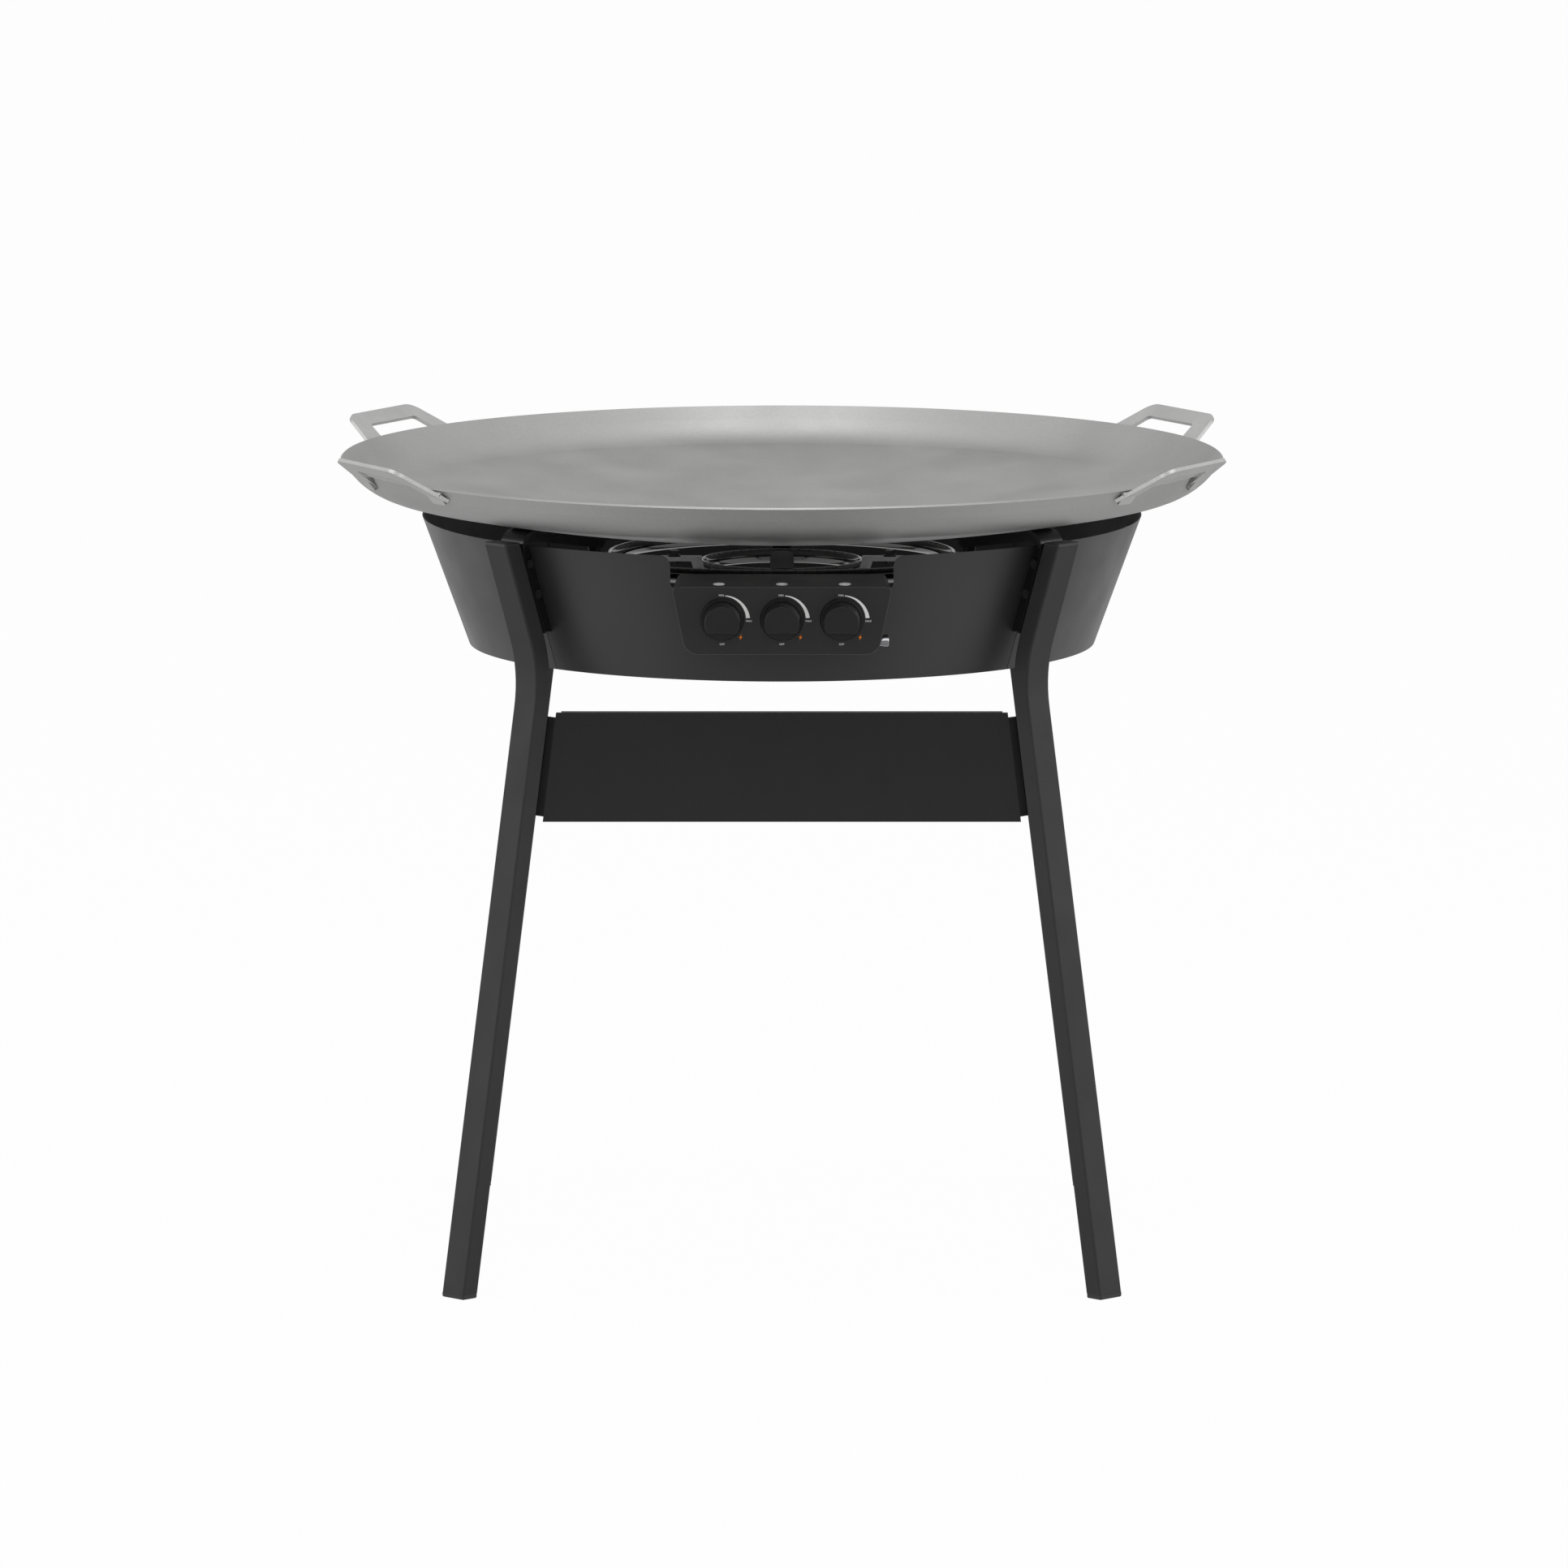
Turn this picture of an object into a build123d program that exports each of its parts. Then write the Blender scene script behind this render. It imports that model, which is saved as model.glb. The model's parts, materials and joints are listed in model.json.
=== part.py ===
from build123d import *
import os
from math import asin, atan, cos, degrees, hypot, radians, sin, sqrt, tan

# Griddle pan on a three-ring gas burner, in millimetres.
# Origin on the floor under the centre of the pan, +Z up, control knobs on the -Y side.

# Pan: a dished steel sheet with a steep rim wall
PAN_RADIUS = 500.0
PAN_RIM_HEIGHT = 904.0
PAN_SHEET = 3.0
DISH_CURVE = 2225.0         # underside radius of the shallow dish
DISH_EDGE_RADIUS = 446.0    # where the dish turns into the rim wall
RIM_BEND = 74.0             # underside radius of the turn
RIM_ANGLE = 50.0            # slope of the rim wall above the horizontal

# Loop handles of bent flat bar, welded under the rim
HANDLE_AZIMUTHS = (30, 150, 210, 330)
HANDLE_THICKNESS = 4.0
HANDLE_RISE = 32.0          # slope of the loop above the horizontal
HANDLE_REACH = 536.0        # outer edge of the loop from the pan's axis
HANDLE_TOP = 926.0          # height of that outer edge, upper face
HANDLE_OUTER_HALF = 68.0    # half length of the outer edge between its corners
HANDLE_FLARE = 0.45         # how fast the legs of the loop spread towards the rim
HANDLE_BAR = 21.5
HANDLE_GRIP_HALF = 49.0     # half width of the finger gap behind the grip bar
HANDLE_GAP_FLARE = 0.36
HANDLE_CORNER = 20.0
HANDLE_GAP_CORNER = 7.0
HANDLE_TAB = 17.0           # length of each weld tab down the rim wall
HANDLE_TAB_WIDTH = 24.0
HANDLE_TAB_CORNER = 3.0
HANDLE_TAB_DROP = 2.0       # tab's start below the rim's edge

# Conical windshield round the burner
SHIELD_TOP_RADIUS = 407.7
SHIELD_TOP = 837.4
SHIELD_BOTTOM_RADIUS = 354.9
SHIELD_BOTTOM = 692.6
SHIELD_SHEET = 1.5
NOTCH_HALF = 123.5
NOTCH_STEP = 803.0          # below this the opening narrows, out of sight behind the control box
NOTCH_LOW_HALF = 103.0
NOTCH_BOTTOM = 744.0
NOTCH_CORNER = 12.0
NOTCH_BEND = 6.0
NOTCH_PLAY = 1.0            # room round the control box where it passes through
FLANGE_DEPTH = 16.0         # end flanges, clamped in the pan rests
FLANGE_TOP = 828.0
FLANGE_GAP = 0.6            # half of the open seam between two panels

# Legs of bent rectangular tube on the four diagonals
LEG_AZIMUTHS = {"front_right": 315, "rear_right": 45, "rear_left": 135, "front_left": 225}
LEG_WIDTH = 35.0
LEG_DEPTH = 22.0
LEG_WALL = 2.0
LEG_CORNER_RADIUS = 399.4   # where the two straight outer faces would meet
LEG_CORNER_HEIGHT = 693.0
LEG_FLARE = 19.2            # upper part from the vertical, beside the windshield
LEG_SPLAY = 9.9             # lower part from the vertical
LEG_BEND = 150.0            # bend radius on the outer face
LEG_EDGE = 2.5
LEG_TOP = 843.0
CAP_THICKNESS = 3.0
FOOT_THICKNESS = 5.0
PLUG_LENGTH = 18.0
PLUG_PLAY = 0.3
LEG_OVERRUN = 60.0          # spare length that the level cuts take off
FOOT_EDGE = 2.0
CAP_EDGE = 1.0

# Pan rests: flat bars bent from the legs over the windshield to under the pan, with two ribs each
REST_SHEET = 3.0
REST_BOTTOM = 738.0
REST_BEND = 18.0
REST_END_RADIUS = 289.0
REST_CREST_RADIUS = 434.0
REST_ARM_DEPTH = 12.0
REST_RIB_HALF = 9.5         # outer faces of the two ribs from the middle of the bar
REST_TIE = 26.0             # plate that joins the ribs at the end of the arm
REST_GAP = 0.3              # the pan sits this far above the rests
REST_SHIELD_GAP = 0.6
REST_TOE = 6.0
REST_MARGIN = 1.0           # extra thickness of the bar under the pan
REST_DIP = 10.0             # mean slope of the arm under the pan
CLAMP_HEIGHTS = (782.0, 817.0)
CLAMP_INSET = 10.5          # clamp bolts from the leg's inner face

# Stand-off bolts that hang the outer ring from the pan rests
HANGER_HEX = 6.5            # half the width across its flats
HANGER_HEX_HEIGHT = 5.5
HANGER_GRIND = 1.0          # spare height, ground off to the slope of the arm
HANGER_POST = 4.0
HANGER_NUT_HEIGHT = 3.0

# Burner rings: name, ring radius and height of the tube's middle
RINGS = {"inner": (90.5, 778.0), "middle": (196.5, 785.8), "outer": (297.0, 802.0)}
RING_TUBE = 8.0             # outer radius of the ring's tube
RING_WALL = 1.5
FEED_HEIGHT = 760.0
FEED_RADIUS = 9.0
FEED_WALL = 1.5
FEED_MOUTH_Y = -360.0
CARRIER_WIDTH = 20.0
CARRIER_THICKNESS = 4.0
CARRIER_SADDLE = 1.0        # depth of the seats that the rings lie in
FEED_FLARE = 4.0
FEED_LIP = 4.0
FEED_MARGIN = 3.0           # closed end past the riser
FEED_CONE = 26.0            # length over which the mouth narrows
FEED_PAST = 36.0            # the inner tube runs on past its ring to carry the igniter
RISER_RADIUS = 6.0
IGNITER_WIDTH = 27.0
IGNITER_TOP = 803.0
IGNITER_CORNER = 9.0
IGNITER_Y = -70.0
IGNITER_SHEET = 2.0
IGNITER_SEAT = 2.0          # how far the tab reaches down the tube's sides
CERAMIC_RADIUS = 3.0
CERAMIC_LENGTH = 14.0
SPARK_RADIUS = 1.0
SPARK_LENGTH = 6.0
SPARK_FORWARD = 24.0        # electrodes in front of the middle and outer rings
SPARK_BEHIND = 8.0          # the inner ring's electrode behind the igniter bracket

# Stays: flat bars from the fascia under the middle ring, with an upturned end
STAY_X = 92.2
STAY_WIDTH = 12.4
STAY_SHEET = 2.5
STAY_SEAT = 0.5             # how deep the bar is hollowed for the ring
STAY_END_Y = -62.0          # front of the upturned end
STAY_LEAN = 4.6             # how far the upturned end leans outwards
STAY_FLANGE = 8.0           # flange past the bolt
# Straps from the stays to the top of the middle ring
STRAP_WIDTH = 16.0
STRAP_SHEET = 2.5
STRAP_SEAT = 1.0
STRAP_REACH = 10.0          # past the middle ring
STRAP_CORNER = 4.0
STRAP_BOLT_X = 121.8

# Control box: a tray in front of the windshield that reaches back through its opening
FACE_TILT = 6.0             # fascia from the vertical, leaning out at the top
FACE_Y = -413.0             # middle of the knob row on the fascia
FACE_Z = 769.9
FACE_TOP = 37.5             # along the fascia from the knob row
FACE_BOTTOM = -40.5
FACE_TOP_HALF = 122.6
FACE_BOTTOM_HALF = 106.8
FACE_TOP_CORNER = 6.0
FACE_BOTTOM_CORNER = 18.0
TRAY_DEPTH = 58.4
TRAY_DRAW = 5.0             # how much each side draws in over the depth
TRAY_SHEET = 2.0
KNOB_PITCH = 66.0
KNOB_NAMES = ("left", "middle", "right")

KNOB_RADIUS = 20.9
KNOB_FRONT_RADIUS = 19.2
KNOB_HEIGHT = 17.5
KNOB_LIFT = 5.0             # gap behind the knob that the push travel uses
KNOB_FLAT = 12.0            # distance of the flat from the knob's axis, at the foot of the grip
BEZEL_RADIUS = 24.3
BEZEL_RIM = 22.6            # outer radius of its top
BEZEL_BORE = 21.4
BEZEL_HEIGHT = 5.0
SPINDLE_RADIUS = 4.0
SPINDLE_BORE = 4.3
SPINDLE_FLAT = 2.8          # flat of the D from the spindle's axis
SPINDLE_END_PLAY = 5.5      # room at the end of the stem bore for the push
SPINDLE_HOLE = 11.0
KNOB_SKIRT = 5.0
KNOB_EDGE = 1.2
KNOB_STEP = 0.4             # grip inside the skirt
KNOB_FIT = 0.02             # play of the knob on its spindle
KNOB_BORE_DEPTH = 9.0
TRAY_EDGE = 1.6
COLLAR_RADIUS = 9.0
COLLAR_BORE = 4.2
COLLAR_HEIGHT = 3.0
COLLAR_LIFT = 1.0
COLLAR_WELL = 10.0
COLLAR_WELL_DEPTH = 6.0

# Gas line inside the control box
MANIFOLD_DROP = -28.0       # along the fascia from the knob row
MANIFOLD_DEPTH = 16.0
MANIFOLD_RADIUS = 7.0
MANIFOLD_WALL = 2.0
MANIFOLD_OVERHANG = 18.0    # closed end past the left valve
MANIFOLD_END = 80.0
INLET_END = 118.2
INLET_HOLE = 7.2
INLET_COLLAR = 7.5
INLET_COLLAR_LENGTH = 9.0
INLET_NECK = 6.0
INLET_THREAD = 6.58         # outside of a G 1/4 gas thread
INLET_THREAD_LENGTH = 6.2   # free thread outside the control box
INLET_BORE = 4.0
INLET_CHAMFER = 0.8
VALVE_WIDTH = 26.0
VALVE_DEPTH = 26.0
VALVE_TOP = 15.0
VALVE_EDGE = 3.0
STEM_DEPTH = 22.0
OUTLET_Y = -366.0
OUTLET_RADIUS = 7.0
OUTLET_ROOT = 8.0           # how far the outlet starts inside the block
JET_HEX = 5.5
JET_HEX_LENGTH = 6.0
JET_NOSE = 8.0
JET_SHOULDER = 4.0
JET_TIP = 2.0
JET_HOLE = 0.6

# Brace between the rear legs
BRACE_TOP = 570.0
BRACE_BOTTOM = 440.0
BRACE_SHEET = 2.0
BRACE_LIP = 12.0
BRACE_STRIP = 11.0          # visible width of the ends bent along the legs
BRACE_RELIEF = 6.0          # corner cut-outs beside the bends
BRACE_SETBACK = 3.0         # bent ends stop short of the leg's outer face
BRACE_BOLTS = (470.0, 540.0)

M6_SHANK = 3.0
M6_HOLE = 3.2
M6_HEAD = 5.0
M6_HEAD_HEIGHT = 4.0
M6_FLANGE = 7.2
M6_FLANGE_HEIGHT = 1.5
FLANGE_BOLT_HEAD = 5.2
SCREW_LENGTH = 10.0
SCREW_HEAD_HEIGHT = 3.0
SCREW_TAPER = 20.0          # draft of the button heads

os.makedirs("parts", exist_ok=True)


def save(name, *solids):
    """Write one node from one or more separate solids."""
    shapes = [s for item in solids for s in item.solids()]
    export_step(shapes[0] if len(shapes) == 1 else Compound(children=shapes), f"parts/{name}.step")


def around(shape, azimuth):
    """Turn a shape built along +X to its place round the pan's axis."""
    return Rot(0, 0, azimuth) * shape


def upright(sketch, half_width):
    """Extrude a sketch of (radius, height) to both sides of the radial plane."""
    return extrude(Plane.XZ * sketch, half_width, both=True)


def turned(sketch):
    """Spin a sketch of (radius, height) round the pan's axis."""
    return revolve(Plane.XZ * sketch, Axis.Z)


# Heights that follow from the driving dimensions
DISH_ANGLE = degrees(asin(DISH_EDGE_RADIUS / DISH_CURVE))
bend_run = RIM_BEND * (sin(radians(RIM_ANGLE)) - sin(radians(DISH_ANGLE)))
bend_rise = RIM_BEND * (cos(radians(DISH_ANGLE)) - cos(radians(RIM_ANGLE)))
wall_run = PAN_RADIUS - DISH_EDGE_RADIUS - bend_run
wall_length = wall_run / cos(radians(RIM_ANGLE))
dish_rise = DISH_CURVE * (1 - cos(radians(DISH_ANGLE)))
rim_under_height = PAN_RIM_HEIGHT - PAN_SHEET * cos(radians(RIM_ANGLE))
DISH_LOW = rim_under_height - wall_run * tan(radians(RIM_ANGLE)) - bend_rise - dish_rise
SHIELD_SLOPE = (SHIELD_TOP_RADIUS - SHIELD_BOTTOM_RADIUS) / (SHIELD_TOP - SHIELD_BOTTOM)


def dish_height(radius, gap=0.0):
    """Height of a surface that lies a steady gap under the pan's dish."""
    curve = DISH_CURVE + gap
    return DISH_LOW + DISH_CURVE - sqrt(curve ** 2 - radius ** 2)


def shield_radius(height):
    """Outer radius of the windshield at a height."""
    return SHIELD_BOTTOM_RADIUS + SHIELD_SLOPE * (height - SHIELD_BOTTOM)


def pan_profile(offset_in):
    """Half section line of the pan, moved up into the sheet by offset_in."""
    dish = JernArc((0, DISH_LOW + offset_in), (1, 0), DISH_CURVE - offset_in, DISH_ANGLE)
    turn = JernArc(dish @ 1, dish % 1, RIM_BEND - offset_in, RIM_ANGLE - DISH_ANGLE)
    wall = Line(turn @ 1, turn @ 1 + (turn % 1) * wall_length)
    return dish, turn, wall


def griddle_pan():
    """Dished sheet: underside and upper side are parallel lines, spun round the axis."""
    under = pan_profile(0)
    upper = pan_profile(PAN_SHEET)
    rim = Line(under[2] @ 1, upper[2] @ 1)
    middle = Line(under[0] @ 0, upper[0] @ 0)
    return turned(make_face([*under, rim, *upper, middle]))


def pan_envelope():
    """Everything inside the pan's underside, to seat what is welded to it."""
    under = pan_profile(0)
    top = Line(under[2] @ 1, (0, PAN_RIM_HEIGHT))
    axis = Line((0, PAN_RIM_HEIGHT), under[0] @ 0)
    return turned(make_face([*under, top, axis]))


def pan_handle(envelope):
    """Loop cut from flat bar; each end of it is a tab bent down onto the rim wall."""
    rise = radians(HANDLE_RISE)
    length = (HANDLE_REACH - PAN_RADIUS) / cos(rise) + HANDLE_BAR
    # local y runs from the grip bar down to the rim
    slope = Plane((HANDLE_REACH, 0, HANDLE_TOP), x_dir=(0, 1, 0), z_dir=(-sin(rise), 0, cos(rise)))
    base_half = HANDLE_OUTER_HALF + HANDLE_FLARE * length
    gap_half = HANDLE_GRIP_HALF + HANDLE_GAP_FLARE * (length - HANDLE_BAR)
    outline = FilletPolyline(
        (-base_half, length), (-HANDLE_OUTER_HALF, 0), (HANDLE_OUTER_HALF, 0), (base_half, length),
        radius=(0, HANDLE_CORNER, HANDLE_CORNER, 0), close=True)
    gap = FilletPolyline(
        (-gap_half, length), (-HANDLE_GRIP_HALF, HANDLE_BAR), (HANDLE_GRIP_HALF, HANDLE_BAR),
        (gap_half, length), radius=(0, HANDLE_GAP_CORNER, HANDLE_GAP_CORNER, 0), close=True)
    loop = extrude(slope * (make_face(outline) - make_face(gap)), -HANDLE_THICKNESS) - envelope
    # each weld tab is square to the rim at its own place
    wall = radians(RIM_ANGLE)
    on_wall = Plane((PAN_RADIUS, 0, rim_under_height), x_dir=(0, 1, 0), z_dir=(sin(wall), 0, -cos(wall)))
    tab_face = Pos(0, -HANDLE_TAB / 2 - HANDLE_TAB_DROP) * RectangleRounded(
        HANDLE_TAB_WIDTH, HANDLE_TAB, HANDLE_TAB_CORNER)
    tab = extrude(on_wall * tab_face, HANDLE_THICKNESS)
    tab_turn = degrees(asin((base_half + gap_half) / 2 / PAN_RADIUS))
    return loop + around(tab, tab_turn) + around(tab, -tab_turn)


def shield_panel(start, end):
    """Quarter of the cone, with an outward flange at each end for the clamp bolts."""
    lean = atan(SHIELD_SLOPE)
    inside = SHIELD_SHEET / cos(lean)
    section = make_face(Polyline(
        (SHIELD_BOTTOM_RADIUS, SHIELD_BOTTOM), (SHIELD_TOP_RADIUS, SHIELD_TOP),
        (SHIELD_TOP_RADIUS - inside, SHIELD_TOP), (SHIELD_BOTTOM_RADIUS - inside, SHIELD_BOTTOM),
        close=True))
    seam = degrees(FLANGE_GAP / SHIELD_BOTTOM_RADIUS)
    sheet = revolve(Plane.XZ * section, Axis.Z, revolution_arc=end - start - 2 * seam)
    flange_face = make_face(Polyline(
        (shield_radius(REST_BOTTOM) - inside / 2, REST_BOTTOM),
        (shield_radius(FLANGE_TOP) - inside / 2, FLANGE_TOP),
        (shield_radius(FLANGE_TOP) + FLANGE_DEPTH, FLANGE_TOP),
        (shield_radius(REST_BOTTOM) + FLANGE_DEPTH, REST_BOTTOM), close=True))
    flange = extrude(Plane.XZ * flange_face, SHIELD_SHEET)
    first = around(Pos(0, FLANGE_GAP + SHIELD_SHEET, 0) * flange, start)
    last = around(Pos(0, -FLANGE_GAP, 0) * flange, end)
    panel = around(sheet, start + seam) + first + last
    for azimuth in (start, end):
        panel -= around(clamp_holes(), azimuth)
    return panel


def front_notch(play=0.0):
    """Opening for the control box: upright sides that draw in below, and rolled-over top corners."""
    top = SHIELD_TOP + NOTCH_CORNER
    half = NOTCH_HALF - play
    low_half = NOTCH_LOW_HALF - play
    bottom = NOTCH_BOTTOM + play
    shoulder = NOTCH_STEP - (NOTCH_HALF - NOTCH_LOW_HALF)
    right = [(low_half, bottom), (low_half, shoulder), (half, NOTCH_STEP), (half, top)]
    left = [(-x, z) for x, z in reversed(right)]
    opening = make_face(FilletPolyline(
        *right, *left, close=True,
        radius=(NOTCH_CORNER, NOTCH_BEND, NOTCH_BEND, 0, 0, NOTCH_BEND, NOTCH_BEND, NOTCH_CORNER)))
    for side in (-1, 1):
        corner = Pos(side * (NOTCH_HALF + NOTCH_CORNER / 2), SHIELD_TOP) * Rectangle(
            NOTCH_CORNER, 2 * NOTCH_CORNER)
        disc = Pos(side * (NOTCH_HALF + NOTCH_CORNER), SHIELD_TOP - NOTCH_CORNER) * Circle(NOTCH_CORNER)
        opening += corner - disc
    return extrude(Plane.XZ * opening, PAN_RADIUS)


def leg_path(depth_in):
    """Line of the leg in the radial plane, depth_in behind its outer face, foot first."""
    flare = radians(LEG_FLARE)
    splay = radians(LEG_SPLAY)
    # both straight runs move inwards by the same distance
    half_turn = (flare + splay) / 2
    lean = (flare - splay) / 2
    shift = depth_in / cos(half_turn)
    corner = (LEG_CORNER_RADIUS - shift * cos(lean), LEG_CORNER_HEIGHT + shift * sin(lean))
    drop = corner[1] + LEG_OVERRUN
    climb = LEG_TOP + LEG_OVERRUN - corner[1]
    foot = (corner[0] + drop * tan(splay), corner[1] - drop)
    top = (corner[0] + climb * tan(flare), corner[1] + climb)
    return foot, corner, top


def leg_inner_radius(height):
    """Distance of the leg's straight upper inner face from the axis."""
    _, corner, _ = leg_path(LEG_DEPTH)
    return corner[0] + (height - corner[1]) * tan(radians(LEG_FLARE))


def tube_leg():
    """Rectangular tube swept along its bent line and cut level at both ends."""
    foot, corner, top = leg_path(LEG_DEPTH / 2)
    middle_bend = LEG_BEND + LEG_DEPTH / 2
    line = Plane.XZ * FilletPolyline(foot, corner, top, radius=middle_bend)
    bore = RectangleRounded(LEG_WIDTH - 2 * LEG_WALL, LEG_DEPTH - 2 * LEG_WALL, LEG_EDGE - LEG_WALL)
    section = RectangleRounded(LEG_WIDTH, LEG_DEPTH, LEG_EDGE) - bore
    tube = sweep(Plane(line @ 0, x_dir=(0, 1, 0), z_dir=line % 0) * section, path=line)
    room = LEG_TOP - CAP_THICKNESS - FOOT_THICKNESS
    return tube & Pos(PAN_RADIUS, 0, FOOT_THICKNESS + room / 2) * Box(2 * PAN_RADIUS, 2 * LEG_WIDTH, room)


def leg_plug(from_height, to_height, flare):
    """Cap block that continues the leg, with a plug that slides into the tube."""
    foot, corner, top = leg_path(LEG_DEPTH / 2)
    far = top if flare else foot
    lean = (far[0] - corner[0]) / (far[1] - corner[1])
    level = (from_height + to_height) / 2
    middle = corner[0] + (level - corner[1]) * lean
    length = LEG_DEPTH * sqrt(1 + lean ** 2)
    block = Pos(middle, 0, level) * extrude(
        RectangleRounded(length, LEG_WIDTH, LEG_EDGE), (to_height - from_height) / 2, both=True)
    inward = -1 if flare else 1
    seat = to_height if inward > 0 else from_height
    at = (corner[0] + (seat - corner[1]) * lean, 0, seat)
    along = Plane(at, x_dir=(0, 1, 0), z_dir=(inward * lean, 0, inward))
    play = LEG_WALL + PLUG_PLAY
    plug = extrude(
        along * Rectangle(LEG_WIDTH - 2 * play, LEG_DEPTH - 2 * play), PLUG_LENGTH, both=True)
    half_space = Pos(at[0], 0, seat + inward * PLUG_LENGTH) * Box(
        2 * LEG_WIDTH, 2 * LEG_WIDTH, 2 * PLUG_LENGTH)
    return block, plug & half_space


def foot_cap():
    block, plug = leg_plug(0, FOOT_THICKNESS, flare=False)
    return fillet(block.edges().group_by(Axis.Z)[0], FOOT_EDGE) + plug


def leg_top_cap():
    block, plug = leg_plug(LEG_TOP - CAP_THICKNESS, LEG_TOP, flare=True)
    return fillet(block.edges().group_by(Axis.Z)[-1], CAP_EDGE) + plug


def clamp_points():
    """Places of the two bolts that clamp the windshield's flanges in a pan rest."""
    return [(leg_inner_radius(height) - CLAMP_INSET, height) for height in CLAMP_HEIGHTS]


def clamp_holes():
    lower, upper = [bolt_hole(r, z) for r, z in clamp_points()]
    return lower + upper


def bolt_hole(r, z):
    """Cutter for a bolt square to the radial plane."""
    return Pos(r, 0, z) * Rot(90, 0, 0) * Cylinder(M6_HOLE, 2 * LEG_WIDTH)


def arm_underside(radius):
    """Height of the lower edge of a pan rest's arm."""
    return dish_height(radius, REST_GAP + REST_ARM_DEPTH)


def rest_outline():
    """Side view of a pan rest: up the leg, over the windshield's rim, in under the pan."""
    corner_height = dish_height(REST_CREST_RADIUS, REST_GAP)
    outer = leg_inner_radius(corner_height)
    low_outer = leg_inner_radius(REST_BOTTOM)
    middle = (REST_END_RADIUS + outer) / 2
    top_arc = ThreePointArc(
        (outer, dish_height(outer, REST_GAP)), (middle, dish_height(middle, REST_GAP)),
        (REST_END_RADIUS, dish_height(REST_END_RADIUS, REST_GAP)))
    rim_clear = shield_radius(SHIELD_TOP) + REST_SHIELD_GAP
    back = Polyline(
        (REST_END_RADIUS, dish_height(REST_END_RADIUS, REST_GAP)),
        (REST_END_RADIUS, arm_underside(REST_END_RADIUS)),
        (rim_clear, arm_underside(rim_clear)),
        (rim_clear, SHIELD_TOP),
        (shield_radius(REST_BOTTOM) + REST_SHIELD_GAP, REST_BOTTOM),
        (low_outer, REST_BOTTOM),
        (outer, dish_height(outer, REST_GAP)))
    face = make_face([top_arc, *back.edges()])
    crest = face.vertices().sort_by(Axis.X)[-1]
    face = fillet(crest, REST_BEND)
    toe = face.vertices().group_by(Axis.X)[0].sort_by(Axis.Y)[0]
    return fillet(toe, REST_TOE)


def pan_rest():
    """Flat bar against the leg and under the pan, with two ribs that clamp the windshield."""
    outline = rest_outline()
    # moving the outline by this much leaves an even bar on both outer sides
    flare = radians(LEG_FLARE)
    dip = radians(REST_DIP)
    across = REST_SHEET / cos(flare - dip)
    inwards = across * (cos(dip) + sin(dip))
    down = across * (cos(flare) - sin(flare)) + REST_MARGIN
    hollow = Pos(-inwards, -down) * outline
    bar = upright(outline - hollow, LEG_WIDTH / 2)
    ribs = upright(outline, REST_RIB_HALF) - upright(hollow, REST_RIB_HALF - REST_SHEET)
    rest = bar + ribs + rest_tie()
    radius, _ = RINGS["outer"]
    stud_hole = Pos(radius, 0, arm_underside(radius)) * Cylinder(M6_HOLE, 4 * REST_SHEET)
    return rest - clamp_holes() - stud_hole


def rest_tie():
    """Plate between the ribs at the end of the arm, for the outer ring's stand-off bolt."""
    ends = (REST_END_RADIUS, REST_END_RADIUS + REST_TIE)
    under = [(r, arm_underside(r)) for r in ends]
    over = [(r, arm_underside(r) + REST_SHEET) for r in reversed(ends)]
    plate = make_face(Polyline(*under, *over, close=True)) & rest_outline()
    return upright(plate, REST_RIB_HALF - REST_SHEET / 2)


def ring_tube(name, radius=RING_TUBE):
    ring_radius, height = RINGS[name]
    return Pos(0, 0, height) * Torus(ring_radius, radius)


def burner_ring(name):
    return ring_tube(name) - ring_tube(name, RING_TUBE - RING_WALL)


def ring_hanger():
    """Stand-off bolt: a post welded on the outer ring, a hexagon under the arm and a stud with its nut."""
    radius, ring_height = RINGS["outer"]
    seat = arm_underside(radius)
    hexagon_height = seat - HANGER_HEX_HEIGHT
    post = extrude(Circle(HANGER_POST), hexagon_height - ring_height)
    post = Pos(radius, 0, ring_height) * post - ring_tube("outer")
    hexagon = Pos(radius, 0, hexagon_height) * extrude(
        RegularPolygon(HANGER_HEX, 6, major_radius=False), HANGER_HEX_HEIGHT + HANGER_GRIND)
    nut = Pos(radius, 0, seat + REST_SHEET - HANGER_GRIND) * extrude(
        RegularPolygon(M6_HEAD, 6, major_radius=False), HANGER_NUT_HEIGHT + HANGER_GRIND)
    stud = Pos(radius, 0, seat - HANGER_GRIND) * extrude(
        Circle(M6_SHANK), HANGER_GRIND + REST_SHEET + HANGER_NUT_HEIGHT)
    plate = rest_tie()
    return post + (hexagon - plate) + (nut - plate) + stud


def rear_carrier():
    """Flat bar that ties the rings at the back, under them, with a seat for each ring."""
    seats = [(radius, height - RING_TUBE + CARRIER_SADDLE) for radius, height in RINGS.values()]
    slope = (seats[2][1] - seats[1][1]) / (seats[2][0] - seats[1][0])
    overhang = CARRIER_WIDTH / 2
    start = (seats[0][0] - overhang, seats[0][1])
    tip = (seats[2][0] + overhang, seats[2][1] + overhang * slope)
    top = [start, *seats, tip]
    under = [(r, z - CARRIER_THICKNESS) for r, z in reversed(top)]
    bar = around(upright(make_face(Polyline(*top, *under, close=True)), CARRIER_WIDTH / 2), 90)
    for name in RINGS:
        bar -= ring_tube(name)
    return bar


def strap_level():
    """Underside of the straps that lie on top of the middle ring."""
    return RINGS["middle"][1] + RING_TUBE - STRAP_SEAT


def strap_start():
    """Inner end of the straps, over the upturned ends of the stays."""
    return STAY_X + STAY_LEAN - STAY_WIDTH / 2


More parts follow.
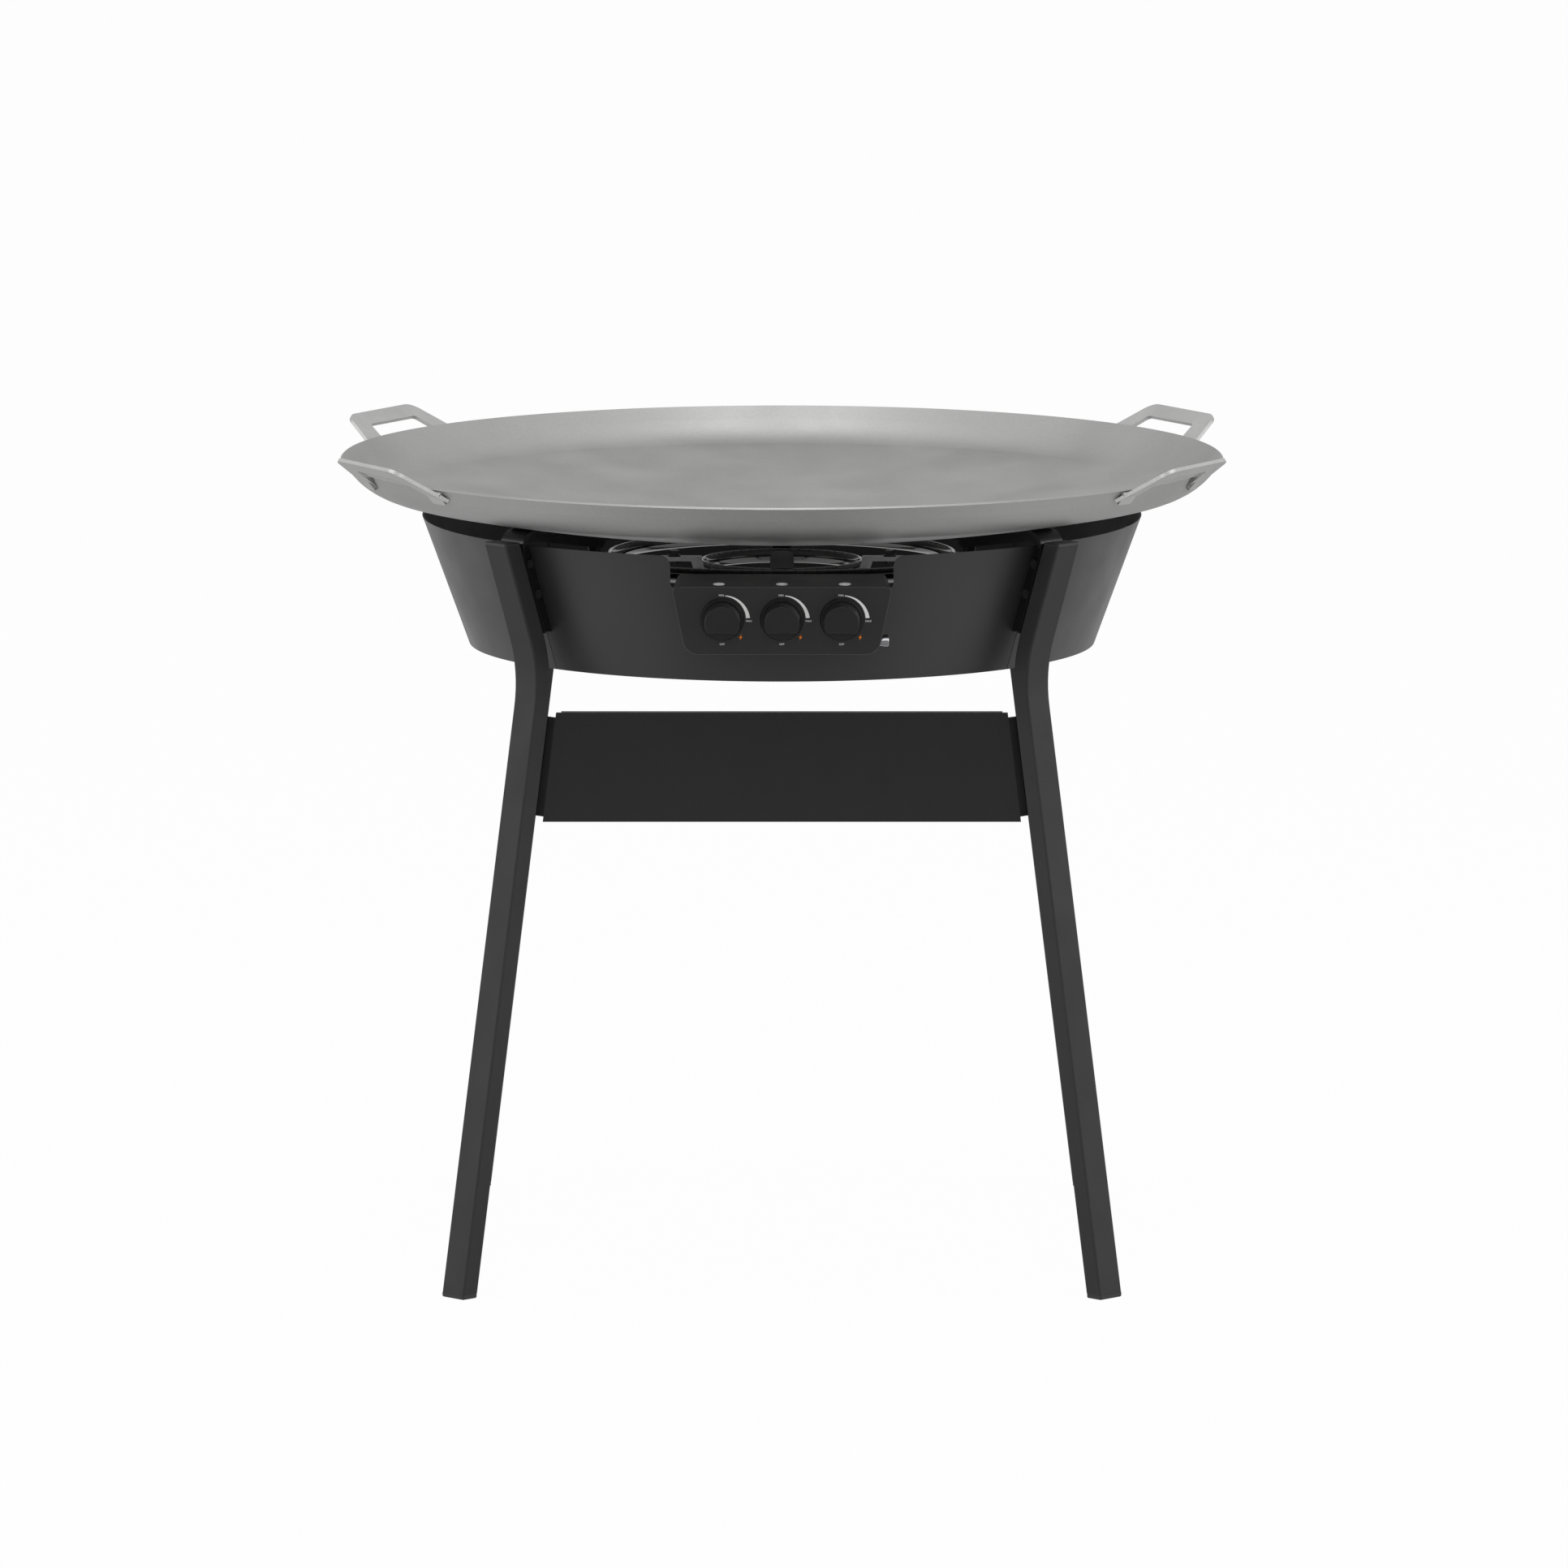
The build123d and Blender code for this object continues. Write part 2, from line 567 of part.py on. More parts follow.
def strap_bolt_place(side):
    return Pos(side * STRAP_BOLT_X, STAY_END_Y + STRAP_WIDTH / 2, strap_level())


def cross_carrier(side):
    """Strap from the upturned end of a stay to the top of the middle ring."""
    middle_y = STAY_END_Y + STRAP_WIDTH / 2
    start = strap_start()
    end = sqrt(RINGS["middle"][0] ** 2 - middle_y ** 2) + STRAP_REACH
    outline = RectangleRounded(end - start, STRAP_WIDTH, STRAP_CORNER)
    strap = Pos(side * (start + end) / 2, middle_y, strap_level()) * extrude(outline, STRAP_SHEET)
    return strap - ring_tube("middle") - strap_bolt_place(side) * Cylinder(M6_HOLE, 4 * STRAP_SHEET)


def strap_bolt(side):
    """Flange bolt with its nut that clamps a strap on the flange of its stay."""
    hexagon = RegularPolygon(M6_HEAD, 6, major_radius=False)
    shank = Pos(0, 0, -STAY_SHEET) * extrude(Circle(M6_SHANK), STAY_SHEET + STRAP_SHEET)
    washer = Pos(0, 0, STRAP_SHEET) * extrude(Circle(M6_FLANGE), M6_FLANGE_HEIGHT)
    head = Pos(0, 0, STRAP_SHEET + M6_FLANGE_HEIGHT) * extrude(hexagon, FLANGE_BOLT_HEAD)
    nut = Pos(0, 0, -STAY_SHEET) * extrude(hexagon, -M6_HEAD_HEIGHT)
    return strap_bolt_place(side) * (shank + washer + head + nut)


def feed_end(name, x):
    """Distance of the ring's middle line in front of the axis, at a side offset x."""
    return -sqrt(RINGS[name][0] ** 2 - x ** 2)


def feed_tube(name, x):
    """Mixing tube: flared mouth, straight tube, closed end and a riser into its ring."""
    past = FEED_PAST if name == "inner" else RISER_RADIUS + FEED_MARGIN
    length = feed_end(name, x) + past - FEED_MOUTH_Y
    mouth = FEED_RADIUS + FEED_FLARE
    outer = make_face(Polyline(
        (0, 0), (mouth, 0), (mouth, FEED_LIP), (FEED_RADIUS, FEED_CONE), (FEED_RADIUS, length), (0, length),
        close=True))
    inner = make_face(Polyline(
        (0, -FEED_WALL), (mouth - FEED_WALL, -FEED_WALL), (mouth - FEED_WALL, FEED_LIP),
        (FEED_RADIUS - FEED_WALL, FEED_CONE), (FEED_RADIUS - FEED_WALL, length - FEED_WALL),
        (0, length - FEED_WALL), close=True))
    along = Plane((x, FEED_MOUTH_Y, FEED_HEIGHT), x_dir=(1, 0, 0), z_dir=(0, 0, 1))
    tube = revolve(along * outer, Axis((x, 0, FEED_HEIGHT), (0, 1, 0)))
    bore = revolve(along * inner, Axis((x, 0, FEED_HEIGHT), (0, 1, 0)))
    rise = RINGS[name][1] - FEED_HEIGHT
    riser = Pos(x, feed_end(name, x), FEED_HEIGHT + rise / 2) * Cylinder(RISER_RADIUS, rise)
    return (tube + riser) - bore - ring_tube(name)


def igniter_bracket():
    """Upright tab with a round top that stands on the inner feed tube."""
    bottom = FEED_HEIGHT + FEED_RADIUS - IGNITER_SEAT
    tab = Pos(0, (bottom + IGNITER_TOP) / 2) * Rectangle(IGNITER_WIDTH, IGNITER_TOP - bottom)
    tab = fillet(tab.vertices().group_by(Axis.Y)[-1], IGNITER_CORNER)
    plate = extrude(Plane((0, IGNITER_Y, 0), x_dir=(1, 0, 0), z_dir=(0, -1, 0)) * tab, IGNITER_SHEET)
    return plate - feed_seat(0, IGNITER_Y)


def feed_seat(x, y):
    """Cutter of a feed tube's outside, to seat what stands on it."""
    return Pos(x, y, FEED_HEIGHT) * Rot(90, 0, 0) * Cylinder(FEED_RADIUS, IGNITER_WIDTH)


def electrode(x, y):
    """Ceramic sleeve on a feed tube with the spark wire above it."""
    base = FEED_HEIGHT + FEED_RADIUS - IGNITER_SEAT / 2
    sleeve = Pos(x, y, base) * extrude(Circle(CERAMIC_RADIUS), CERAMIC_LENGTH)
    wire = Pos(x, y, base + CERAMIC_LENGTH) * extrude(Circle(SPARK_RADIUS), SPARK_LENGTH)
    return sleeve + wire - feed_seat(x, y)


# The fascia's own frame: x to the right, y up along it, z out towards the cook
FASCIA = Plane(
    (0, FACE_Y, FACE_Z), x_dir=(1, 0, 0),
    z_dir=(0, -cos(radians(FACE_TILT)), -sin(radians(FACE_TILT))))


def fascia_outline(inset=0.0, draw=0.0):
    """Trapezoid with large lower corners: inset all round, and its sides drawn in further."""
    low_half = FACE_BOTTOM_HALF - inset - draw
    top_half = FACE_TOP_HALF - inset - draw
    bottom = FACE_BOTTOM + inset
    top = FACE_TOP - inset
    low_corner = FACE_BOTTOM_CORNER - inset
    top_corner = FACE_TOP_CORNER - inset
    return make_face(FilletPolyline(
        (-low_half, bottom), (low_half, bottom), (top_half, top), (-top_half, top),
        radius=(low_corner, low_corner, top_corner, top_corner), close=True))


def on_fascia(x, y, depth):
    """Place on the fascia's frame, depth behind its face."""
    return FASCIA * Pos(x, y, -depth)


def manifold_place():
    place = on_fascia(0, MANIFOLD_DROP, MANIFOLD_DEPTH)
    return place.position.Y, place.position.Z


def tray_block(inset):
    """Block from the fascia back to the open side of the tray, inset all round but there."""
    front = on_fascia(0, 0, inset) * fascia_outline(inset)
    back = on_fascia(0, 0, TRAY_DEPTH) * fascia_outline(inset, TRAY_DRAW)
    return loft([front, back], ruled=True)


def control_box():
    """Tray with three spindle holes and the hole for the gas inlet, trimmed to the windshield."""
    outer = tray_block(0)
    outer = fillet(outer.faces().sort_by_distance(FASCIA.origin)[0].edges(), TRAY_EDGE)
    tray = outer - tray_block(TRAY_SHEET)
    for x in knob_places():
        tray -= on_fascia(x, 0, 0) * Cylinder(SPINDLE_HOLE, 4 * TRAY_SHEET)
    y, z = manifold_place()
    tray -= Pos(FACE_BOTTOM_HALF, y, z) * Rot(0, 90, 0) * Cylinder(INLET_HOLE, 2 * FACE_BOTTOM_CORNER)
    cone = Pos(0, 0, (SHIELD_TOP + SHIELD_BOTTOM) / 2) * Cone(
        SHIELD_BOTTOM_RADIUS + REST_SHIELD_GAP, SHIELD_TOP_RADIUS + REST_SHIELD_GAP,
        SHIELD_TOP - SHIELD_BOTTOM)
    return tray - (cone - front_notch(NOTCH_PLAY))


def knob_places():
    return [(i - 1) * KNOB_PITCH for i in range(3)]


def gas_manifold():
    """Pipe that feeds the three valves, closed at its left end."""
    y, z = manifold_place()
    start = knob_places()[0] - MANIFOLD_OVERHANG
    length = MANIFOLD_END - start
    pipe = Pos(start + length / 2, y, z) * Rot(0, 90, 0) * Cylinder(MANIFOLD_RADIUS, length)
    bore = Pos(MANIFOLD_WALL, 0, 0) * Pos(start + length / 2, y, z) * Rot(0, 90, 0) * Cylinder(
        MANIFOLD_RADIUS - MANIFOLD_WALL, length)
    return pipe - bore


def gas_inlet():
    """Turned stub on the manifold: collar, neck through the box, thread for the hose's union nut."""
    y, z = manifold_place()
    length = INLET_END - MANIFOLD_END
    thread_start = length - INLET_THREAD_LENGTH
    section = make_face(Polyline(
        (INLET_BORE, 0), (INLET_COLLAR, 0), (INLET_COLLAR, INLET_COLLAR_LENGTH),
        (INLET_NECK, INLET_COLLAR_LENGTH), (INLET_NECK, thread_start), (INLET_THREAD, thread_start),
        (INLET_THREAD, length - INLET_CHAMFER), (INLET_THREAD - INLET_CHAMFER, length),
        (INLET_BORE, length), close=True))
    return Pos(MANIFOLD_END, y, z) * Rot(0, 90, 0) * turned(section)


def gas_valve(x):
    """Brass block on the manifold: stem bore at the front, level outlet at the back."""
    bottom = MANIFOLD_DROP + MANIFOLD_RADIUS
    height = VALVE_TOP - bottom
    back = TRAY_SHEET + VALVE_DEPTH
    block = on_fascia(x, bottom + height / 2, TRAY_SHEET + VALVE_DEPTH / 2) * Box(
        VALVE_WIDTH, height, VALVE_DEPTH)
    block = fillet(block.edges().filter_by(Axis((0, 0, 0), FASCIA.z_dir)), VALVE_EDGE)
    boss_start = on_fascia(x, 0, back - OUTLET_ROOT).position.Y
    boss_length = OUTLET_Y - boss_start
    boss = Pos(x, boss_start + boss_length / 2, FEED_HEIGHT) * Rot(90, 0, 0) * Cylinder(
        OUTLET_RADIUS, boss_length)
    bore = on_fascia(x, 0, TRAY_SHEET) * Cylinder(SPINDLE_BORE, 2 * STEM_DEPTH)
    well = on_fascia(x, 0, TRAY_SHEET) * Cylinder(COLLAR_WELL, 2 * COLLAR_WELL_DEPTH)
    return block + boss - bore - well


def injector(x):
    """Hexagon jet screwed into the valve's outlet."""
    turn = Pos(x, OUTLET_Y, FEED_HEIGHT) * Rot(-90, 0, 0)
    body = extrude(RegularPolygon(JET_HEX, 6), JET_HEX_LENGTH)
    nose = Pos(0, 0, JET_HEX_LENGTH) * Cone(
        JET_SHOULDER, JET_TIP, JET_NOSE, align=(Align.CENTER, Align.CENTER, Align.MIN))
    hole = Cylinder(JET_HOLE, 4 * JET_NOSE)
    return turn * (body + nose - hole)


def spindle(x):
    """Valve spindle with a flat at its outer end that drives the knob."""
    outer_end = KNOB_LIFT + KNOB_BORE_DEPTH
    inner_end = TRAY_SHEET + STEM_DEPTH - SPINDLE_END_PLAY
    length = outer_end + inner_end
    rod = Pos(0, 0, (outer_end - inner_end) / 2) * Cylinder(SPINDLE_RADIUS, length)
    cut = Pos(0, 0, KNOB_LIFT) * extrude(beside_flat(), KNOB_BORE_DEPTH)
    return on_fascia(x, 0, 0) * (rod - cut)


def beside_flat():
    """What the flat takes off the spindle's round."""
    return Pos(0, -SPINDLE_FLAT - SPINDLE_RADIUS) * Rectangle(4 * SPINDLE_RADIUS, 2 * SPINDLE_RADIUS)


def push_collar(x):
    """Collar that the valve's return spring lifts; it travels with the push of the knob."""
    ring = Cylinder(COLLAR_RADIUS, COLLAR_HEIGHT) - Cylinder(COLLAR_BORE, 2 * COLLAR_HEIGHT)
    return on_fascia(x, 0, -COLLAR_LIFT - COLLAR_HEIGHT / 2) * ring


def control_knob(x):
    """Round skirt with a drafted grip that is cut flat on one side, the pointer at OFF."""
    base = Pos(0, 0, KNOB_LIFT) * extrude(Circle(KNOB_RADIUS), KNOB_SKIRT)
    grip_height = KNOB_HEIGHT - KNOB_SKIRT
    foot_radius = KNOB_RADIUS - KNOB_STEP
    draft = degrees(atan((foot_radius - KNOB_FRONT_RADIUS) / grip_height))
    grip = extrude(Circle(foot_radius), grip_height, taper=draft)
    grip -= Pos(0, -KNOB_FLAT, 0) * Rot(-draft, 0, 0) * Pos(0, -KNOB_RADIUS, 0) * Box(
        4 * KNOB_RADIUS, 2 * KNOB_RADIUS, 4 * KNOB_HEIGHT)
    grip = Pos(0, 0, KNOB_LIFT + KNOB_SKIRT) * fillet(grip.edges().group_by(Axis.Z)[-1], KNOB_EDGE)
    hole = Circle(SPINDLE_RADIUS + KNOB_FIT) - beside_flat()
    bore = Pos(0, 0, KNOB_LIFT) * extrude(hole, KNOB_BORE_DEPTH)
    return on_fascia(x, 0, 0) * (base + grip - bore)


def knob_bezel(x):
    """Raised ring on the fascia round a knob, sloping outside."""
    slope = degrees(atan((BEZEL_RADIUS - BEZEL_RIM) / BEZEL_HEIGHT))
    ring = extrude(Circle(BEZEL_RADIUS), BEZEL_HEIGHT, taper=slope)
    return on_fascia(x, 0, 0) * (ring - Cylinder(BEZEL_BORE, 4 * BEZEL_HEIGHT))


def box_stay(side):
    """Flat bar from the fascia that carries the middle ring; its end turns up and ends in a flange."""
    low = RINGS["middle"][1] - RING_TUBE + STAY_SEAT - STAY_SHEET
    top = strap_level()
    back = STAY_END_Y + STAY_SHEET
    run = Pos(side * STAY_X, (FACE_Y + back) / 2, low + STAY_SHEET / 2) * Box(
        STAY_WIDTH, back - FACE_Y, STAY_SHEET)
    ahead = on_fascia(0, 0, TRAY_SHEET) * extrude(Rectangle(2 * FACE_TOP_HALF, 2 * FACE_TOP), TRAY_DEPTH)
    inner = STAY_X - STAY_WIDTH / 2
    outer = STAY_X + STAY_WIDTH / 2
    corners = [(inner, low), (outer, low), (outer + STAY_LEAN, top), (inner + STAY_LEAN, top)]
    end_face = make_face(Polyline(*[(side * x, z) for x, z in corners], close=True))
    end = Pos(0, back, 0) * extrude(Plane.XZ * end_face, STAY_SHEET)
    flange_end = STRAP_BOLT_X + STAY_FLANGE
    flange = Pos(
        side * (strap_start() + flange_end) / 2, STAY_END_Y + STRAP_WIDTH / 2, top - STAY_SHEET / 2) * Box(
        flange_end - strap_start(), STRAP_WIDTH, STAY_SHEET)
    bar = (run - ahead) + end + flange
    return bar - ring_tube("middle") - strap_bolt_place(side) * Cylinder(M6_HOLE, 4 * STAY_SHEET)


def rear_brace():
    """Folded sheet: leaning face, a lip along top and bottom, and ends bent along the legs."""
    splay = tan(radians(LEG_SPLAY))
    _, corner, _ = leg_path(0)
    _, inner_corner, _ = leg_path(LEG_DEPTH)

    def leg_face(line_corner, height):
        return line_corner[0] + (line_corner[1] - height) * splay

    def end_face(height):
        return leg_face(inner_corner, height) - BRACE_STRIP

    side = LEG_WIDTH / 2 + BRACE_SHEET
    half = sqrt(0.5)

    def bend(height):
        """Half width and distance behind the axis of the bend line at a height."""
        return half * (end_face(height) - side), half * (end_face(height) + side)

    low_x, low_y = bend(BRACE_BOTTOM)
    top_x, top_y = bend(BRACE_TOP)
    lean = hypot(BRACE_TOP - BRACE_BOTTOM, low_y - top_y)
    up = ((top_y - low_y) / lean, (BRACE_TOP - BRACE_BOTTOM) / lean)
    sheet_plane = Plane((0, low_y, BRACE_BOTTOM), x_dir=(1, 0, 0), z_dir=(0, -up[1], up[0]))
    # the sheet's own thickness carries the face a little way into each bend
    low_x += half * BRACE_SHEET
    top_x += half * BRACE_SHEET
    trapezoid = make_face(Polyline((-low_x, 0), (low_x, 0), (top_x, lean), (-top_x, lean), close=True))
    face = extrude(sheet_plane * trapezoid, BRACE_SHEET)
    relief = BRACE_RELIEF
    lips = []
    for x, y, z, way in ((low_x, low_y, BRACE_BOTTOM, 1), (top_x, top_y, BRACE_TOP, -1)):
        lip = Pos(0, y + BRACE_LIP / 2 - BRACE_SHEET / 2, z + way * BRACE_SHEET / 2) * Box(
            2 * (x - relief), BRACE_LIP, BRACE_SHEET)
        lips.append(lip)
    strip = make_face(Polyline(
        (end_face(BRACE_BOTTOM + relief), BRACE_BOTTOM + relief),
        (leg_face(corner, BRACE_BOTTOM + relief) - BRACE_SETBACK, BRACE_BOTTOM + relief),
        (leg_face(corner, BRACE_TOP - relief) - BRACE_SETBACK, BRACE_TOP - relief),
        (end_face(BRACE_TOP - relief), BRACE_TOP - relief), close=True))
    strip = extrude(Plane.XZ * strip, BRACE_SHEET)
    right = around(Pos(0, LEG_WIDTH / 2 + BRACE_SHEET, 0) * strip, LEG_AZIMUTHS["rear_right"])
    left = around(Pos(0, -LEG_WIDTH / 2, 0) * strip, LEG_AZIMUTHS["rear_left"])
    return face + lips[0] + lips[1] + right + left


def cross_bolt(r, z, low, high):
    """Bolt square to a radial plane: shank between the two faces, head and nut outside them."""
    shank = Pos(0, 0, (low + high) / 2) * Cylinder(M6_SHANK, high - low)
    head = Pos(0, 0, high) * extrude(RegularPolygon(M6_HEAD, 6, major_radius=False), M6_HEAD_HEIGHT)
    nut = Pos(0, 0, low) * extrude(RegularPolygon(M6_HEAD, 6, major_radius=False), -M6_HEAD_HEIGHT)
    return Pos(r, 0, z) * Rot(-90, 0, 0) * (shank + head + nut)


def rest_bolts(azimuth):
    """Two clamp bolts of a pan rest."""
    return [around(cross_bolt(r, z, -REST_RIB_HALF, REST_RIB_HALF), azimuth) for r, z in clamp_points()]


def brace_holes():
    """Screw places on a rear leg: radius and height on the middle of the leg's side."""
    _, corner, _ = leg_path(LEG_DEPTH / 2)
    return [(corner[0] + (corner[1] - z) * tan(radians(LEG_SPLAY)), z) for z in BRACE_BOLTS]


def brace_drill(azimuth, side):
    """Cutters for the brace's screws through the strip and the near wall of a rear leg."""
    drills = [Pos(r, side * LEG_WIDTH / 2, z) * Rot(90, 0, 0) * Cylinder(M6_HOLE, 4 * M6_SHANK)
              for r, z in brace_holes()]
    return around(drills[0] + drills[1], azimuth)


def brace_screws(azimuth, side):
    """Button screws through the brace's bent ends into the leg."""
    out = LEG_WIDTH / 2 + BRACE_SHEET
    screws = []
    for r, z in brace_holes():
        shank = Pos(0, 0, out) * extrude(Circle(M6_SHANK), -SCREW_LENGTH)
        head = Pos(0, 0, out) * extrude(Circle(M6_HEAD), SCREW_HEAD_HEIGHT, taper=SCREW_TAPER)
        screws.append(around(Pos(r, 0, z) * Rot(-90 * side, 0, 0) * (shank + head), azimuth))
    return screws


# Pan and handles
save("griddle_pan", griddle_pan())
handle = pan_handle(pan_envelope())
for name, azimuth in zip(("rear_right", "rear_left", "front_left", "front_right"), HANDLE_AZIMUTHS):
    save(f"pan_handle_{name}", around(handle, azimuth))

# Windshield
save("windshield_front", shield_panel(225, 315) - front_notch())
for name, start in (("right", -45), ("rear", 45), ("left", 135)):
    save(f"windshield_{name}", shield_panel(start, start + 90))

# Legs with their caps and pan rests
bolts = []
BRACED = {"rear_right": 1, "rear_left": -1}
for name, azimuth in LEG_AZIMUTHS.items():
    leg = around(tube_leg(), azimuth)
    if name in BRACED:
        leg -= brace_drill(azimuth, BRACED[name])
    save(f"leg_{name}", leg)
    save(f"leg_top_cap_{name}", around(leg_top_cap(), azimuth))
    save(f"foot_cap_{name}", around(foot_cap(), azimuth))
    save(f"pan_rest_{name}", around(pan_rest(), azimuth))
    save(f"ring_hanger_{name}", around(ring_hanger(), azimuth))
    bolts += rest_bolts(azimuth)
brace = rear_brace()
for name, side in BRACED.items():
    brace -= brace_drill(LEG_AZIMUTHS[name], side)
    bolts += brace_screws(LEG_AZIMUTHS[name], side)
save("rear_brace", brace)
bolts += [strap_bolt(side) for side in (-1, 1)]
save("m6_bolts", *bolts)

# Burner
FEEDS = dict(zip(("middle", "inner", "outer"), knob_places()))
electrodes = [electrode(FEEDS["inner"], IGNITER_Y + SPARK_BEHIND)]
for name, x in FEEDS.items():
    save(f"burner_ring_{name}", burner_ring(name))
    save(f"feed_tube_{name}", feed_tube(name, x))
    if name != "inner":
        electrodes.append(electrode(x, feed_end(name, x) - SPARK_FORWARD))
save("spark_electrodes", *electrodes)
save("igniter_bracket", igniter_bracket())
save("cross_carrier", cross_carrier(-1), cross_carrier(1))
save("rear_carrier", rear_carrier())
save("box_stay_left", box_stay(-1))
save("box_stay_right", box_stay(1))

# Control box and gas line
save("control_box", control_box())
save("gas_manifold", gas_manifold())
save("gas_inlet", gas_inlet())
save("injectors", *[injector(x) for x in knob_places()])
save("knob_bezels", *[knob_bezel(x) for x in knob_places()])
for name, x in zip(KNOB_NAMES, knob_places()):
    save(f"gas_valve_{name}", gas_valve(x))
    save(f"spindle_{name}", spindle(x))
    save(f"push_collar_{name}", push_collar(x))
    save(f"control_knob_{name}", control_knob(x))
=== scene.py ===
# %% [markdown]
# # A griddle pan on a three-ring gas burner
# A wide dished steel pan lies on a free-standing burner with splayed tube legs, a conical
# windshield and a control box with three knobs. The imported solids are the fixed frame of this
# scene: every CAD piece keeps its place and its size. Blender's share is the finish of each surface
# and the small things that are printed, drilled or cut on them. Lengths are in metres, the floor is
# at z = 0, and the cook stands on the -Y side.

# %% Load the frame
import json
from math import cos, degrees, pi, radians, sin

import bpy
from mathutils import Matrix, Vector


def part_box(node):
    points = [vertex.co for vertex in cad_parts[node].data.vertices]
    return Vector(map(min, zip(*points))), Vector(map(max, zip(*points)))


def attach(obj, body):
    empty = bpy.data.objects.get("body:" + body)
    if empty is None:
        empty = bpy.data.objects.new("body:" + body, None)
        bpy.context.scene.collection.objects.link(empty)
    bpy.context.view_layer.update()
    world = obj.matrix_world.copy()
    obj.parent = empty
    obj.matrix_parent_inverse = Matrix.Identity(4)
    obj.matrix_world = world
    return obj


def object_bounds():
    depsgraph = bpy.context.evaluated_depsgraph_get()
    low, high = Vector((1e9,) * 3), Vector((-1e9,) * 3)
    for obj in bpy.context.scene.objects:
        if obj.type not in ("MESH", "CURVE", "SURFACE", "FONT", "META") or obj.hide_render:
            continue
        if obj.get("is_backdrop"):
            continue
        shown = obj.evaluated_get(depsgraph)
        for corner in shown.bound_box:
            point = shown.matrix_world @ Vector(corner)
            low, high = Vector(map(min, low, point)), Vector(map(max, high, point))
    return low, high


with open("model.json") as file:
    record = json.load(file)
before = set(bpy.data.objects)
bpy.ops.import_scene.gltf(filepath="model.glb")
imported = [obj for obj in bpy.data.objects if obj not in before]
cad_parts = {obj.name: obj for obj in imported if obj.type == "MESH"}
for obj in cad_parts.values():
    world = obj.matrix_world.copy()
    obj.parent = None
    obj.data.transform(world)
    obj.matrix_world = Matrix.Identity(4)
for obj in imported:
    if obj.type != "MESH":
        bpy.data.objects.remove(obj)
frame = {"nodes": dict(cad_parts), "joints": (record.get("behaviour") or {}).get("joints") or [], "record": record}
cad_low, cad_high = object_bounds()
nodes = frame["nodes"]
bpy.ops.object.select_all(action="DESELECT")

# %% [markdown]
# ## Camera
# The photograph was taken from far away with a long lens, a little above the pan's rim, so the
# round rim shows as a flat ellipse and upright lines hardly converge. A near camera with a short
# lens could show the object just as large, but it would open the ellipse and lean the legs. So the
# camera stands 15 m away with a 300 mm lens. The small sideways shift centres the picture as it
# was framed.

# %% Camera at the photograph's place
CAMERA_PLACE = (0.0, -14.872, 2.650)
CAMERA_PITCH = radians(81.877)      # 90 degrees would look level
CAMERA_LENS = 303.24                # mm
CAMERA_SENSOR = 36                  # mm, the picture width that the lens belongs to
CAMERA_SHIFT = 0.00135
CAMERA_REACH = 200                  # m, far enough for the whole floor

bpy.ops.object.camera_add(location=CAMERA_PLACE, rotation=(CAMERA_PITCH, 0, 0))
camera = bpy.context.object
camera.data.sensor_width = CAMERA_SENSOR
camera.data.lens = CAMERA_LENS
camera.data.shift_x = CAMERA_SHIFT
camera.data.clip_end = CAMERA_REACH
bpy.context.scene.camera = camera
print("camera looks down by", round(90 - degrees(CAMERA_PITCH), 2), "degrees")

# %% [markdown]
# ## What each kind of ray sees
# A catalogue picture has a white ground, soft light, and steel that mirrors a studio. A plain white
# room could give the first, but it would light the object far too much. Light Path lets a shader
# tell rays apart, so that each kind gets its own answer: rays that light other surfaces, rays from
# a mirror or through glass, and rays from the camera.

# %% A value for each kind of ray
def by_ray(tree, to_others, in_mirrors, to_camera):
    """One value for rays that light other surfaces, one for mirror and glass rays, one for the camera."""
    path = tree.nodes.new("ShaderNodeLightPath")
    mirror = tree.nodes.new("ShaderNodeMath")
    mirror.operation = "MAXIMUM"
    tree.links.new(path.outputs["Is Glossy Ray"], mirror.inputs[0])
    tree.links.new(path.outputs["Is Transmission Ray"], mirror.inputs[1])
    reflected = tree.nodes.new("ShaderNodeMix")
    reflected.inputs["A"].default_value = to_others
    tree.links.new(in_mirrors, reflected.inputs["B"])
    tree.links.new(mirror.outputs[0], reflected.inputs["Factor"])
    seen = tree.nodes.new("ShaderNodeMix")
    seen.inputs["B"].default_value = to_camera
    tree.links.new(reflected.outputs["Result"], seen.inputs["A"])
    tree.links.new(path.outputs["Is Camera Ray"], seen.inputs["Factor"])
    return seen.outputs["Result"]


print("light, mirror and camera rays are told apart")

# %% [markdown]
# ## World
# The room around the object does two jobs: it fills the shadows with weak light, and it is what
# the steel mirrors. One plain sky could do the first, but then the steel would look like grey
# paint. So in mirrors the sky is a studio that is white at the back and dark on the camera's side,
# as a real one is, with a smooth change between them.

# %% A sky that mirrors see as a studio
SKY_LIGHT = 0.46                    # how strongly the sky lights other surfaces
SKY_DARK_SIDE = 0.25                # how bright the camera's side of the room is in mirrors
SKY_FADE = (-0.95, -0.35)           # between these directions along y it turns white


def axes(tree, coordinates):
    """The x, y and z of a shader's coordinates, one by one."""
    split = tree.nodes.new("ShaderNodeSeparateXYZ")
    tree.links.new(tree.nodes.new("ShaderNodeTexCoord").outputs[coordinates], split.inputs[0])
    return split.outputs


